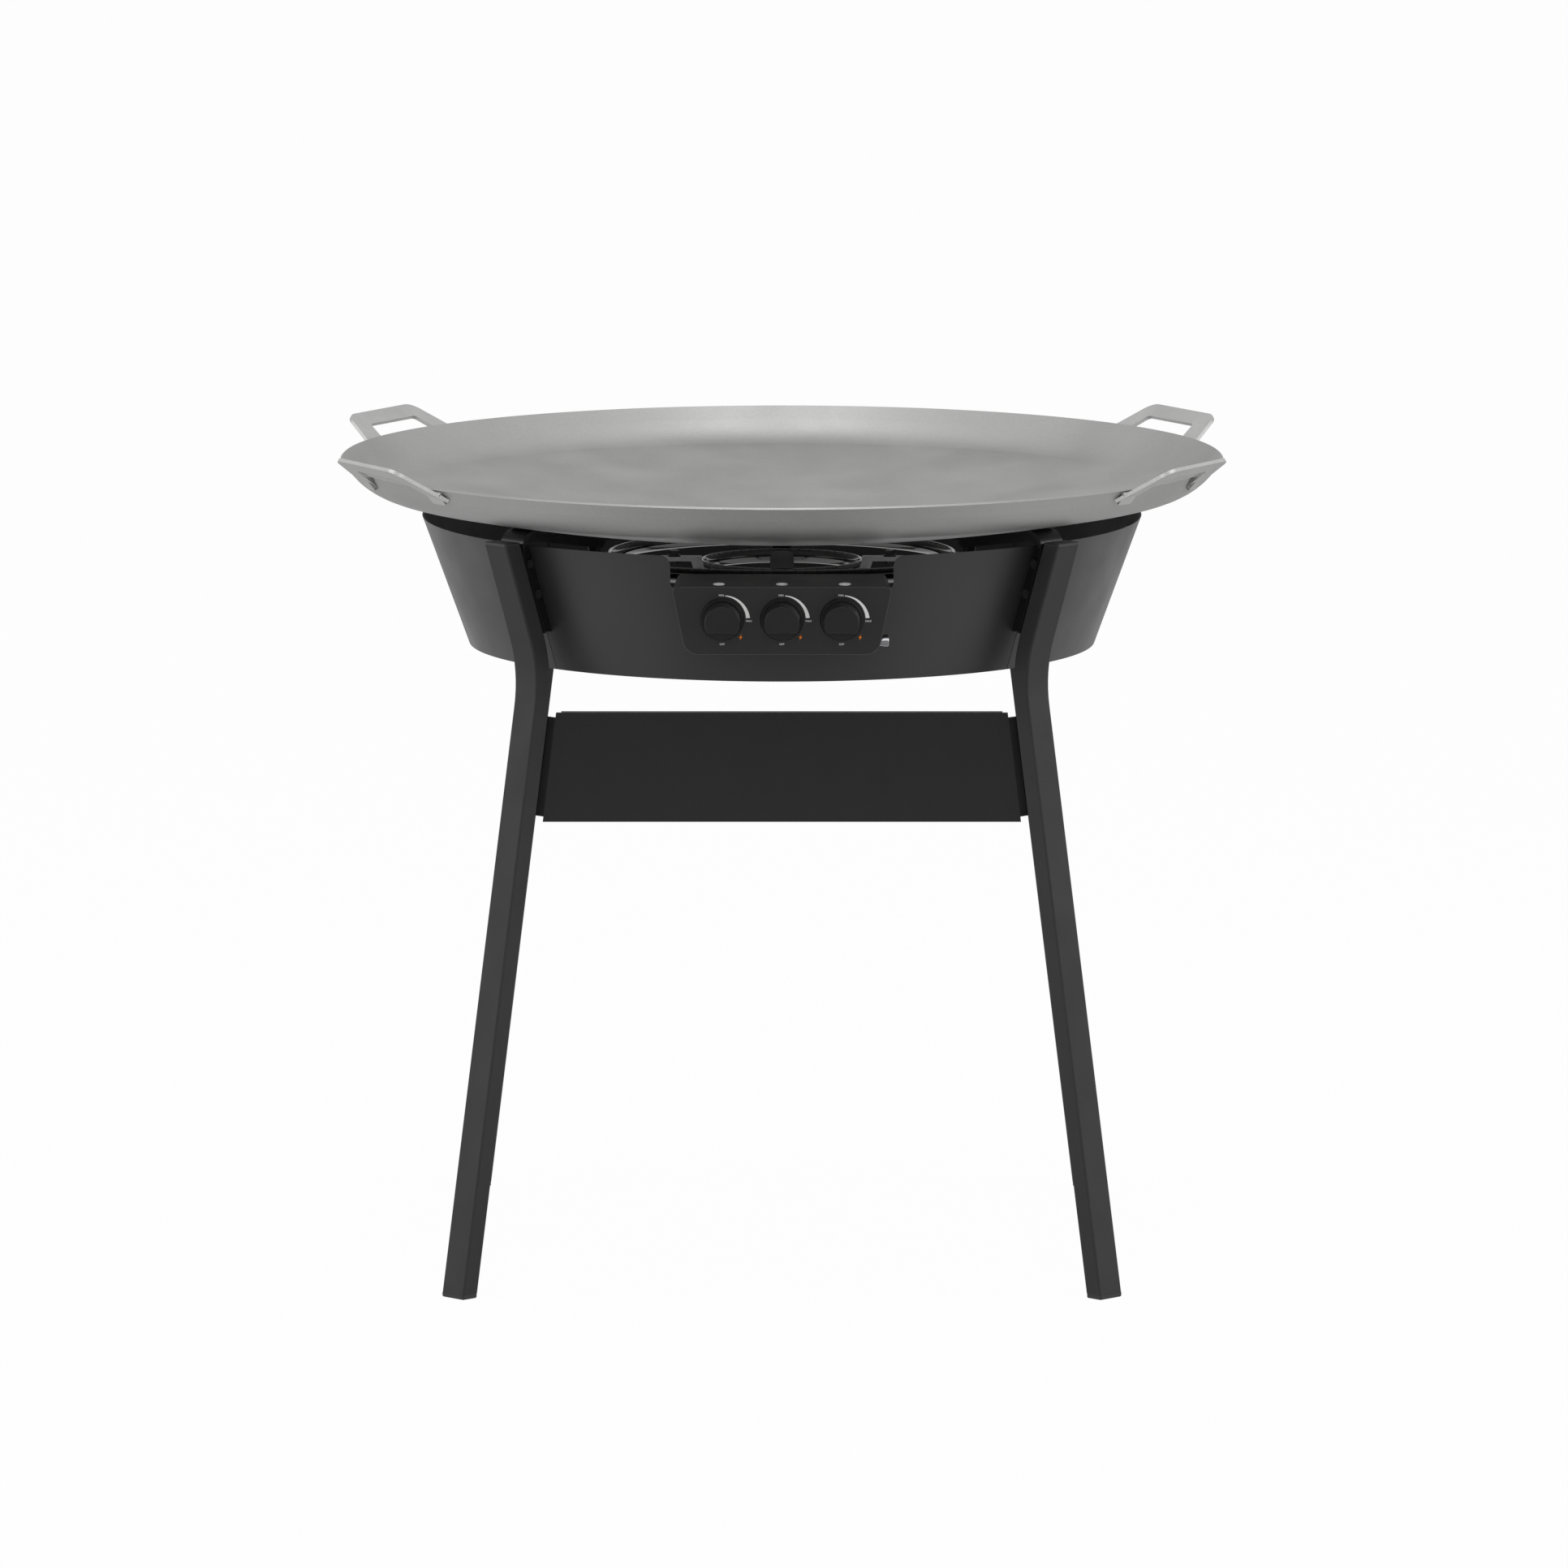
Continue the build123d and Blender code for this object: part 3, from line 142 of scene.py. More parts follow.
def fade(tree, along, places, values):
    """Smooth change from one value to another between two places."""
    ramp = tree.nodes.new("ShaderNodeMapRange")
    ramp.interpolation_type = "SMOOTHSTEP"
    ramp.inputs["From Min"].default_value, ramp.inputs["From Max"].default_value = places
    ramp.inputs["To Min"].default_value, ramp.inputs["To Max"].default_value = values
    tree.links.new(along, ramp.inputs["Value"])
    return ramp.outputs["Result"]


world = bpy.data.worlds.new("studio")
world.use_nodes = True
bpy.context.scene.world = world
sky_tree = world.node_tree
sky = sky_tree.nodes["Background"]
sky.inputs["Color"].default_value = (1, 1, 1, 1)
sky_in_mirrors = fade(sky_tree, axes(sky_tree, "Generated")["Y"], SKY_FADE, (SKY_DARK_SIDE, 1.0))
sky_strength = by_ray(sky_tree, SKY_LIGHT, sky_in_mirrors, 1.0)
sky_tree.links.new(sky_strength, sky.inputs["Strength"])
print("sky lights with", SKY_LIGHT, "and its dark side mirrors as", SKY_DARK_SIDE)

# %% [markdown]
# ## Floor
# The object stands on a pale studio floor that runs to the horizon, so that no edge shows. Strong
# lamps could whiten a plain floor, but they would bleach the steel too. So the floor is mixed from
# two shaders. To the camera it is nearly all white glow and still takes a trace of the feet's
# shadow, and to other surfaces it is a grey card. In mirrors its white has a dark wedge on the
# camera's side, which puts the soft shade under the pan's front wall.

# %% A floor with a dark wedge in mirrors
FLOOR_SIZE = 120.0
FLOOR_GREY = (0.60, 0.60, 0.60, 1)
FLOOR_WHITE_TO_CAMERA = 0.975       # how much of the floor's look is plain white
FLOOR_WEDGE = 1.2                   # the wedge's edge comes forward by this for each metre aside
FLOOR_FADE = (-0.4, 0.5)            # along y, where the wedge ends on the middle line
FLOOR_IN_MIRRORS = (0.03, 0.95)     # the white inside the wedge and behind it


def floor_material():
    """Grey card to other surfaces, white to the camera, white with a dark wedge in mirrors."""
    material = bpy.data.materials.new("studio_floor")
    material.use_nodes = True
    tree = material.node_tree
    tree.nodes.clear()
    place = axes(tree, "Object")
    aside = tree.nodes.new("ShaderNodeMath")
    aside.operation = "ABSOLUTE"
    tree.links.new(place["X"], aside.inputs[0])
    depth = tree.nodes.new("ShaderNodeMath")
    depth.operation = "MULTIPLY_ADD"
    depth.inputs[1].default_value = FLOOR_WEDGE
    tree.links.new(aside.outputs[0], depth.inputs[0])
    tree.links.new(place["Y"], depth.inputs[2])
    in_mirrors = fade(tree, depth.outputs[0], FLOOR_FADE, FLOOR_IN_MIRRORS)
    grey = tree.nodes.new("ShaderNodeBsdfDiffuse")
    grey.inputs["Color"].default_value = FLOOR_GREY
    white = tree.nodes.new("ShaderNodeEmission")
    white.inputs["Strength"].default_value = 1.0
    mix = tree.nodes.new("ShaderNodeMixShader")
    tree.links.new(by_ray(tree, 0.0, in_mirrors, FLOOR_WHITE_TO_CAMERA), mix.inputs["Fac"])
    tree.links.new(grey.outputs[0], mix.inputs[1])
    tree.links.new(white.outputs[0], mix.inputs[2])
    out = tree.nodes.new("ShaderNodeOutputMaterial")
    tree.links.new(mix.outputs[0], out.inputs["Surface"])
    return material


bpy.ops.mesh.primitive_plane_add(size=FLOOR_SIZE, location=(0, 0, 0))
floor = bpy.context.object
floor.name = "floor"
floor.data.materials.append(floor_material())
floor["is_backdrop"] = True
print("floor is", FLOOR_SIZE, "m wide")

# %% [markdown]
# ## Lamps
# Product shots use softboxes, large glowing panels whose shadows have no hard edge. Point lamps
# would put small hot spots on the steel, and the sky alone would leave the black windshield
# without edges. So a long panel overhead gives the pan's far wall its bright band, two tall ones
# at the sides draw light edges along the windshield, and one in front, above the line of sight,
# lights the knobs. The Standard view transform shows each colour about as it is written.

# %% Four softboxes
PAN_CENTRE = Vector((0, 0, 0.85))
SOFTBOXES = {                       # place, width and height, power in watts
    "softbox_above": ((0, -0.4, 4.2), (1.2, 3.5), 35),
    "softbox_front": ((0, -6.0, 3.6), (3.0, 4.6), 100),
    "softbox_left": ((-3.9, -1.0, 1.9), (2.4, 3.2), 62),
    "softbox_right": ((3.9, -1.0, 1.9), (2.4, 3.2), 62),
}

for name, (place, size, power) in SOFTBOXES.items():
    bpy.ops.object.light_add(type="AREA", location=place)
    lamp = bpy.context.object
    lamp.name = name
    lamp.data.shape = "RECTANGLE"
    lamp.data.size, lamp.data.size_y = size
    lamp.data.energy = power
    lamp.visible_camera = False
    lamp.rotation_euler = (PAN_CENTRE - Vector(place)).to_track_quat("-Z", "Y").to_euler()
    print(name, "shines with", power, "W")
bpy.context.scene.view_settings.view_transform = "Standard"

# %% [markdown]
# ## Noise in real sizes
# No real surface is one flat colour: steel has soft patches from rolling and oil, and paint has a
# fine grain. Both could come from a photographed texture, but that needs a UV map and repeats.
# Noise on Object coordinates needs neither and runs over every edge without a seam. Its Scale
# counts lumps per metre, so a helper turns the width of a grain into that number. A second helper
# spreads the noise over the range that a finish asks for.

# %% Noise with a given grain
NOISE_MIDDLE = (0.3, 0.7)           # nearly all values of a noise lie between these


def noise(tree, coordinates, grain, detail):
    """Noise whose lumps are about one grain across."""
    node = tree.nodes.new("ShaderNodeTexNoise")
    node.inputs["Scale"].default_value = 1.0 / grain
    node.inputs["Detail"].default_value = detail
    tree.links.new(coordinates, node.inputs["Vector"])
    return node.outputs["Fac"]


def spread(tree, value, low, high):
    """Spread the middle of a noise over a range."""
    node = tree.nodes.new("ShaderNodeMapRange")
    node.inputs["From Min"].default_value, node.inputs["From Max"].default_value = NOISE_MIDDLE
    node.inputs["To Min"].default_value = low
    node.inputs["To Max"].default_value = high
    tree.links.new(value, node.inputs["Value"])
    return node.outputs["Result"]


print("a grain of 1 mm is a noise scale of", round(1.0 / 0.001))

# %% [markdown]
# ## One recipe for all finishes
# Steel, paint, plastic and ink differ in colour, gloss and grain, but they vary in the same ways:
# in soft patches of shade and gloss, and in fine grains that stand up a little. Each could get a
# node tree of its own. One function with named values keeps them short and easy to compare. What
# varies is linked to the Principled shader, and what is the same all over a surface is set on the
# shader's own socket.

# %% Patches and grains on a Principled shader
PATCH_DETAIL = 3.0
GRAIN_DETAIL = 2.0
GLOSS_SWING = 0.1                   # roughness changes by this share from patch to patch
GRAIN_HEIGHT = 0.2                  # as a share of the grain's width


def grainy(name, colour, metallic, roughness, patch, grain, bump, contrast, specular=0.5, edge=1.0):
    """Finish with soft patches of shade and gloss, and a fine grain that stands up a little.

    The value edge darkens how a metal mirrors at a flat angle.
    """
    material = bpy.data.materials.new(name)
    material.use_nodes = True
    tree = material.node_tree
    shader = tree.nodes["Principled BSDF"]
    place = tree.nodes.new("ShaderNodeTexCoord").outputs["Object"]
    patches = noise(tree, place, patch, PATCH_DETAIL)
    grains = noise(tree, place, grain, GRAIN_DETAIL)
    shade = tree.nodes.new("ShaderNodeMath")
    shade.operation = "MULTIPLY"
    tree.links.new(spread(tree, patches, 1 - contrast, 1 + contrast), shade.inputs[0])
    tree.links.new(spread(tree, grains, 1 - contrast, 1 + contrast), shade.inputs[1])
    tint = tree.nodes.new("ShaderNodeMix")
    tint.data_type = "RGBA"
    tint.blend_type = "MULTIPLY"
    tint.inputs["Factor"].default_value = 1.0
    tint.inputs["A"].default_value = (*colour, 1)
    tree.links.new(shade.outputs[0], tint.inputs["B"])
    tree.links.new(tint.outputs["Result"], shader.inputs["Base Color"])
    gloss = spread(tree, patches, roughness * (1 - GLOSS_SWING), roughness * (1 + GLOSS_SWING))
    tree.links.new(gloss, shader.inputs["Roughness"])
    relief = tree.nodes.new("ShaderNodeBump")
    relief.inputs["Strength"].default_value = bump
    relief.inputs["Distance"].default_value = grain * GRAIN_HEIGHT
    tree.links.new(grains, relief.inputs["Height"])
    tree.links.new(relief.outputs["Normal"], shader.inputs["Normal"])
    shader.inputs["Metallic"].default_value = metallic
    shader.inputs["Specular IOR Level"].default_value = specular
    shader.inputs["Specular Tint"].default_value = (edge, edge, edge, 1)
    return material


print("roughness swings by", GLOSS_SWING, "and grains rise by", GRAIN_HEIGHT, "of their width")

# %% [markdown]
# ## Bare steel
# The pan is pressed from rolled sheet steel and oiled, and its handles are bent from flat bar. Such
# steel is a rough mirror, in which the studio shows as soft light and dark bands. Anisotropy could
# draw the marks of a brush, but this steel has a fine even grain, so the plain recipe fits. Oil and
# mill scale also dull what a metal mirrors at a flat angle, and Specular Tint darkens just that.

# %% Steel of the pan and its handles
pan_steel = grainy(
    "pan_steel", (0.35, 0.35, 0.347), metallic=1.0, roughness=0.52,
    patch=0.09, grain=0.0024, bump=0.12, contrast=0.035, edge=0.64)
handle_steel = grainy(
    "handle_steel", (0.45, 0.45, 0.447), metallic=1.0, roughness=0.5,
    patch=0.03, grain=0.0022, bump=0.10, contrast=0.03, edge=0.6)
print("made the steel of the pan and of the handles")

# %% [markdown]
# ## Black coatings
# Nearly everything under the pan is black, yet no two blacks are alike: stove enamel on the
# windshield, powder coat on the legs and the brace, gloss paint on the pan rests, satin paint on
# the control box, heat-proof grey on the igniter bracket and black oxide on the bolts. One black
# for all would melt them into one shape. The coats differ a little in colour and mostly in gloss:
# roughness spreads the shine, and Specular IOR Level says how strong it is. The pan rests are
# set darker than their gloss paint alone. That extra dark is painted shade of the deep recess
# between each leg and the windshield.

# %% Six dark coats
shield_enamel = grainy(
    "shield_enamel", (0.024, 0.023, 0.023), metallic=0.0, roughness=0.46,
    patch=0.06, grain=0.0012, bump=0.12, contrast=0.05, specular=0.4)
powder_coat = grainy(
    "powder_coat", (0.028, 0.027, 0.027), metallic=0.0, roughness=0.6,
    patch=0.05, grain=0.0010, bump=0.25, contrast=0.06, specular=0.22)
# near-black gloss paint, made darker still as painted shade of the recess beside the legs
rest_gloss_and_painted_shade = grainy(
    "rest_gloss_and_painted_shade", (0.006, 0.006, 0.006), metallic=0.0, roughness=0.3,
    patch=0.03, grain=0.0010, bump=0.10, contrast=0.06, specular=0.4)
fascia_paint = grainy(
    "fascia_paint", (0.015, 0.015, 0.015), metallic=0.0, roughness=0.4,
    patch=0.04, grain=0.0010, bump=0.12, contrast=0.05, specular=0.34)
igniter_paint = grainy(
    "igniter_paint", (0.09, 0.09, 0.09), metallic=0.0, roughness=0.6,
    patch=0.015, grain=0.0008, bump=0.2, contrast=0.08, specular=0.4)
black_oxide = grainy(
    "black_oxide", (0.014, 0.014, 0.015), metallic=0.0, roughness=0.28,
    patch=0.01, grain=0.0006, bump=0.10, contrast=0.08, specular=0.6)
print("made six dark coats")

# %% [markdown]
# ## Moulded plastic
# The ends of the legs are closed by matt plastic plugs, and the knobs and their bezels are moulded
# from a finer, darker plastic. The wall of a mould leaves an even texture on them. Displacement
# could model it, but it is finer than any mesh here, so a bump with a grain of less than a
# millimetre is enough.

# %% Plastic of the caps and the knobs
cap_plastic = grainy(
    "cap_plastic", (0.030, 0.029, 0.029), metallic=0.0, roughness=0.5,
    patch=0.02, grain=0.0008, bump=0.2, contrast=0.06, specular=0.3)
knob_plastic = grainy(
    "knob_plastic", (0.012, 0.012, 0.012), metallic=0.0, roughness=0.38,
    patch=0.02, grain=0.0006, bump=0.15, contrast=0.05, specular=0.25)
print("made the plastic of the caps and of the knobs")

# %% [markdown]
# ## Metals of the burner and the gas way
# The burner rings are smooth dark tube, the carriers and stays are zinc plated, the valves are
# brass, their stems are turned steel, and the gas inlet is bright plated. One grey metal with a
# changed roughness could pass for all of them from afar. But a metal's colour is the colour of what
# it mirrors, so each has its own: low for the dark tube, yellow for brass. The sleeves of the
# electrodes are glazed ceramic, which is no metal, so its shine stays white.

# %% Burner tube, plated parts, brass, turned steel and ceramic
burner_steel = grainy(
    "burner_steel", (0.075, 0.074, 0.073), metallic=1.0, roughness=0.13,
    patch=0.03, grain=0.0015, bump=0.06, contrast=0.06)
zinc_plate = grainy(
    "zinc_plate", (0.42, 0.42, 0.43), metallic=1.0, roughness=0.38,
    patch=0.012, grain=0.0010, bump=0.10, contrast=0.06)
valve_brass = grainy(
    "valve_brass", (0.62, 0.44, 0.19), metallic=1.0, roughness=0.32,
    patch=0.02, grain=0.0008, bump=0.10, contrast=0.06)
turned_steel = grainy(
    "turned_steel", (0.50, 0.50, 0.50), metallic=1.0, roughness=0.25,
    patch=0.02, grain=0.0006, bump=0.08, contrast=0.05)
chrome = grainy(
    "chrome", (0.26, 0.26, 0.27), metallic=1.0, roughness=0.12,
    patch=0.02, grain=0.0006, bump=0.03, contrast=0.03)
ceramic = grainy(
    "ceramic", (0.78, 0.76, 0.70), metallic=0.0, roughness=0.25,
    patch=0.01, grain=0.0008, bump=0.05, contrast=0.03)
print("made five metals and a ceramic")

# %% [markdown]
# ## Every node takes the finish of its slot
# The record gives each CAD node a slot, such as frame_paint for the legs and the brace. Finishes
# could be handed out node by node, but a node that is forgotten would stay grey. A table from slot
# to finish needs one line for each slot, and a missing one stops the script. The shapes stay
# untouched: only each mesh's list of materials is emptied and filled.

# %% Finish the nodes
FINISHES = {
    "pan_steel": pan_steel,
    "handle_steel": handle_steel,
    "shield_paint": shield_enamel,
    "frame_paint": powder_coat,
    "rest_paint": rest_gloss_and_painted_shade,
    "cap_plastic": cap_plastic,
    "burner_steel": burner_steel,
    "zinc_steel": zinc_plate,
    "bolt_black": black_oxide,
    "igniter_paint": igniter_paint,
    "electrode_ceramic": ceramic,
    "box_paint": fascia_paint,
    "bezel_plastic": knob_plastic,
    "knob_plastic": knob_plastic,
    "valve_brass": valve_brass,
    "bright_steel": turned_steel,
    "inlet_chrome": chrome,
}

for part in frame["record"]["subparts"]:
    mesh = nodes[part["node"]].data
    mesh.materials.clear()
    mesh.materials.append(FINISHES[part["material_slot"]])

# %% [markdown]
# ## Where the printing goes
# The fascia of the control box leans a little, and each knob stands square on it. Marks could be
# placed by their room coordinates, with the lean worked out for each one. It is easier to draw them
# flat at the origin, as on paper, and to move them with one matrix. The knob's hinge gives that
# matrix: it sits on the fascia, and its axis points straight out of it.

# %% The fascia's frame at each knob
KNOBS = ("left", "middle", "right")


def dial_frame(knob):
    """Matrix with x to the right, y up along the fascia and z out of it, at a knob's axis."""
    hinge = next(joint for joint in frame["joints"] if joint["name"] == f"turn_{knob}")
    out = Vector(hinge["axis"]).normalized()
    right = Vector((1, 0, 0))
    turn = Matrix((right, out.cross(right), out)).transposed().to_4x4()
    return Matrix.Translation(hinge["pos_m"]) @ turn


for knob in KNOBS:
    print(knob, "dial at", [round(v, 4) for v in dial_frame(knob).translation])

# %% [markdown]
# ## A film of ink
# A screen print is a film of ink that lies on the paint. It could be drawn inside the paint's
# material, but then its edges would need a picture or a long sum of coordinates. As a thin closed
# sheet it has crisp edges at any distance and a finish of its own. Solidify gives a flat shape that
# thickness. Its place is then applied to the mesh, so that the object stays at the origin.

# %% From a flat shape to a sheet of ink
INK = 0.00015                       # thickness of a print


def only(piece):
    """Select one object and make it the active one."""
    bpy.ops.object.select_all(action="DESELECT")
    piece.select_set(True)
    bpy.context.view_layer.objects.active = piece


def apply_modifiers(piece):
    """Turn what the modifiers show into the mesh itself."""
    only(piece)
    for modifier in list(piece.modifiers):
        bpy.ops.object.modifier_apply(modifier=modifier.name)


def move_mesh(piece, matrix):
    """Put a mesh in its place and leave its object at the origin."""
    only(piece)
    piece.matrix_world = matrix
    bpy.ops.object.transform_apply(location=True, rotation=True, scale=True)


def ink_sheet(flat):
    """Give a flat mesh the thickness of ink, on top of the surface it lies on."""
    sheet = flat.modifiers.new("ink", "SOLIDIFY")
    sheet.thickness = INK
    sheet.offset = 0
    apply_modifiers(flat)
    move_mesh(flat, Matrix.Translation((0, 0, INK / 2)))
    return flat


print("ink is", round(INK * 1000, 2), "mm thick")

# %% [markdown]
# ## The white wedge
# Beside each knob a white wedge grows from MIN to MAX and shows which way the flame gets bigger.
# Spinning an edge would give a strip of even width. A flat grid with one row of faces can be bent
# and tapered at once, because each of its points is put at an angle and a distance from the knob.

# %% A strip bent round the knob
ARC_INNER = 0.0264                  # the inner edge keeps this distance from the knob's axis
ARC_THIN = 0.0008
ARC_THICK = 0.0044
ARC_START = radians(7.5)            # clockwise from 12 o'clock
ARC_END = radians(87)
ARC_STEPS = 40

bpy.ops.mesh.primitive_grid_add(x_subdivisions=ARC_STEPS, y_subdivisions=1, size=2)
wedge = bpy.context.object
for vertex in wedge.data.vertices:
    along = (vertex.co.x + 1) / 2
    across = (vertex.co.y + 1) / 2
    angle = ARC_START + along * (ARC_END - ARC_START)
    radius = ARC_INNER + across * (ARC_THIN + along * (ARC_THICK - ARC_THIN))
    vertex.co = (radius * sin(angle), radius * cos(angle), 0)
ink_sheet(wedge)
print("wedge has", len(wedge.data.polygons), "faces")

# %% [markdown]
# ## MIN, MAX and OFF
# Three short words tell the cook where the flame is small, large and out. Their letters could be
# drawn point by point, but a Text object already holds well-made ones. It becomes a mesh before it
# is placed, and its doubles are merged so that front, rim and back are one closed skin. The letters
# stand a little apart, because two that touch would share an edge.

# %% The words of a dial
WORD_SIZE = 0.0031
LETTER_SPACING = 1.08
WORDS = {"MIN": (-0.0008, 0.0270), "MAX": (0.0296, -0.0021), "OFF": (0.0, -0.0284)}


def printed_word(text, middle):
    """Word as a thin mesh, centred at a point of the fascia."""
    bpy.ops.object.text_add()
    letters = bpy.context.object
    letters.data.body = text
    letters.data.size = WORD_SIZE
    letters.data.space_character = LETTER_SPACING
    letters.data.align_x = "CENTER"
    letters.data.align_y = "CENTER"
    letters.data.extrude = INK / 2
    bpy.ops.object.convert(target="MESH")
    letters = bpy.context.object
    bpy.ops.object.mode_set(mode="EDIT")
    bpy.ops.mesh.select_all(action="SELECT")
    bpy.ops.mesh.remove_doubles(threshold=INK / 20)
    bpy.ops.mesh.normals_make_consistent(inside=False)
    bpy.ops.object.mode_set(mode="OBJECT")
    move_mesh(letters, Matrix.Translation((*middle, INK / 2)))
    return letters


words = [printed_word(text, middle) for text, middle in WORDS.items()]
print("words are", [round(word.dimensions.x * 1000, 1) for word in words], "mm wide")

# %% [markdown]
# ## Three dials from one
# The three dials are alike, so the wedge and the words become one piece, and each knob gets a copy
# of it. Linked copies would share one mesh, and then the place could not be kept in the mesh, with
# the object left at the origin. So each copy has a mesh of its own. The ink is a soft white with
# hardly any grain.

# %% Dials beside the knobs
ink_white = grainy(
    "ink_white", (0.80, 0.80, 0.79), metallic=0.0, roughness=0.5,
    patch=0.004, grain=0.0004, bump=0.05, contrast=0.04)


def join(pieces, name):
    """One object out of several."""
    bpy.ops.object.select_all(action="DESELECT")
    for piece in pieces:
        piece.select_set(True)
    bpy.context.view_layer.objects.active = pieces[0]
    bpy.ops.object.join()
    pieces[0].name = name
    return pieces[0]


def copy_of(piece, name):
    """Second object like the first, with its own mesh."""
    twin = bpy.data.objects.new(name, piece.data.copy())
    bpy.context.scene.collection.objects.link(twin)
    return twin


def dress(piece, material, body):
    """Give a finished piece its material and the body that carries it."""
    piece.data.materials.clear()
    piece.data.materials.append(material)
    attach(piece, body)


dial_pattern = join([wedge, *words], "dial_pattern")
for knob in KNOBS:
    dial = copy_of(dial_pattern, f"dial_print_{knob}")
    move_mesh(dial, dial_frame(knob))
    dress(dial, ink_white, "frame")
    print("printed", dial.name)
bpy.data.objects.remove(dial_pattern)

# %% [markdown]
# ## The orange spark
# Below MAX a small orange zigzag marks where the igniter clicks. A sign from a symbol font could
# stand there, but fonts differ from one computer to the next. A filled circle with six corners is
# the same everywhere, once its corners are pulled into the zigzag. The orange is a strong colour
# with little shine, as ink is.

# %% Sparks beside the knobs
SPARK_PLACE = (0.0205, -0.0205)
SPARK_HALF = 0.0033                 # half its height
SPARK_CORNERS = (
    (0.35, 1.0), (-0.62, -0.12), (-0.05, -0.12),
    (-0.35, -1.0), (0.62, 0.16), (0.05, 0.16))
ink_orange = grainy(
    "ink_orange", (0.84, 0.20, 0.012), metallic=0.0, roughness=0.6,
    patch=0.004, grain=0.0004, bump=0.05, contrast=0.05, specular=0.15)

bpy.ops.mesh.primitive_circle_add(vertices=len(SPARK_CORNERS), radius=SPARK_HALF, fill_type="NGON")
spark_pattern = bpy.context.object
for vertex, (x, y) in zip(spark_pattern.data.vertices, SPARK_CORNERS):
    vertex.co = (SPARK_PLACE[0] + x * SPARK_HALF, SPARK_PLACE[1] + y * SPARK_HALF, 0)
ink_sheet(spark_pattern)
for knob in KNOBS:
    spark = copy_of(spark_pattern, f"spark_mark_{knob}")
    move_mesh(spark, dial_frame(knob))
    dress(spark, ink_orange, "frame")
    print("printed", spark.name)
bpy.data.objects.remove(spark_pattern)

# %% [markdown]
# ## Burner symbols
# On top of the box, above each knob, a round symbol shows the three rings from above, with the
# ring of that knob drawn bold. Flattened tori would do, but they are thick and heavy for a print.
# Each ring is a circle of edges instead, extruded inwards and given the thickness of ink. The top
# of the box is square to the fascia, so its frame is the dial's frame turned a quarter.

# %% Symbols on the top of the box
SYMBOL_RINGS = {"inner": 0.0015, "middle": 0.0035, "outer": 0.0056}
SYMBOL_RING_OF = {"left": "middle", "middle": "inner", "right": "outer"}
SYMBOL_BOLD = 0.0021
SYMBOL_LIGHT = 0.0014
SYMBOL_SIDES = 40
SYMBOL_SPREAD = 1.053               # the symbols stand a little wider apart than the knobs
SYMBOL_BACK = 0.0100                # behind the front edge
FASCIA_RISE = 0.0375                # from the knobs' axes up to the top of the box


def flat_ring(radius, width):
    """Flat ring of ink round the origin."""
    bpy.ops.mesh.primitive_circle_add(vertices=SYMBOL_SIDES, radius=radius + width / 2, fill_type="NOTHING")
    ring = bpy.context.object
    shrink = (radius - width / 2) / (radius + width / 2)
    bpy.ops.object.mode_set(mode="EDIT")
    bpy.ops.mesh.select_all(action="SELECT")
    bpy.ops.mesh.extrude_edges_move()
    bpy.ops.transform.resize(value=(shrink, shrink, 1))
    bpy.ops.object.mode_set(mode="OBJECT")
    return ink_sheet(ring)


to_top = Matrix.Translation((0, FASCIA_RISE, -SYMBOL_BACK)) @ Matrix.Rotation(-pi / 2, 4, "X")
for knob in KNOBS:
    rings = []
    for name, radius in SYMBOL_RINGS.items():
        width = SYMBOL_BOLD if name == SYMBOL_RING_OF[knob] else SYMBOL_LIGHT
        rings.append(flat_ring(radius, width))
    symbol = join(rings, f"burner_symbol_{knob}")
    place = dial_frame(knob)
    place.translation.x *= SYMBOL_SPREAD
    move_mesh(symbol, place @ to_top)
    dress(symbol, ink_white, "frame")
    print(symbol.name, "at z", round(max(v.co.z for v in symbol.data.vertices), 4))

# %% [markdown]
# ## One gas port
# The flames stand on small ports, drilled into each ring. A Boolean could cut real holes, but the
# CAD meshes are not to be changed. A drill leaves a raised burr and a dark mouth, so one port is
# modelled as a low crater with eight sides. It starts as a circle of edges that is extruded three
# times: up to the crest, in to the mouth and down into the hole. Hundreds of copies follow, so it
# has few faces.

# %% A crater with eight sides
PORT_SIDES = 8
PORT_RADIUS = 0.0010
PORT_MOUTH = 0.0007
PORT_RISE = 0.0002
PORT_SINK = 0.0001                  # the crater's foot is under the tube's skin

bpy.ops.mesh.primitive_circle_add(vertices=PORT_SIDES, radius=PORT_RADIUS, fill_type="NOTHING")
crater = bpy.context.object
bpy.ops.object.mode_set(mode="EDIT")
bpy.ops.mesh.select_all(action="SELECT")
bpy.ops.transform.translate(value=(0, 0, -PORT_SINK))
mouth = PORT_MOUTH / PORT_RADIUS
crest = (1 + mouth) / 2
for scale, rise in ((crest, PORT_RISE + PORT_SINK), (mouth / crest, 0), (1, -PORT_RISE / 2)):
    bpy.ops.mesh.extrude_edges_move()
    bpy.ops.transform.resize(value=(scale, scale, 1))
    bpy.ops.transform.translate(value=(0, 0, rise))
bpy.ops.mesh.edge_face_add()
bpy.ops.mesh.select_all(action="SELECT")
bpy.ops.mesh.fill_holes(sides=PORT_SIDES)
bpy.ops.mesh.normals_make_consistent(inside=False)
bpy.ops.object.mode_set(mode="OBJECT")
print("crater has", len(crater.data.polygons), "faces")

# %% [markdown]
# ## Ports along the rings
# Each ring has two rows of ports, left and right of its crest, staggered so that the flame runs on
# from one to the next. An Array modifier could set out one row. Matrices do it as well, and they
# also lean every copy until it stands square on the tube. All copies of a ring are joined into one
# piece. Soot makes the ports darker and duller than the tube.

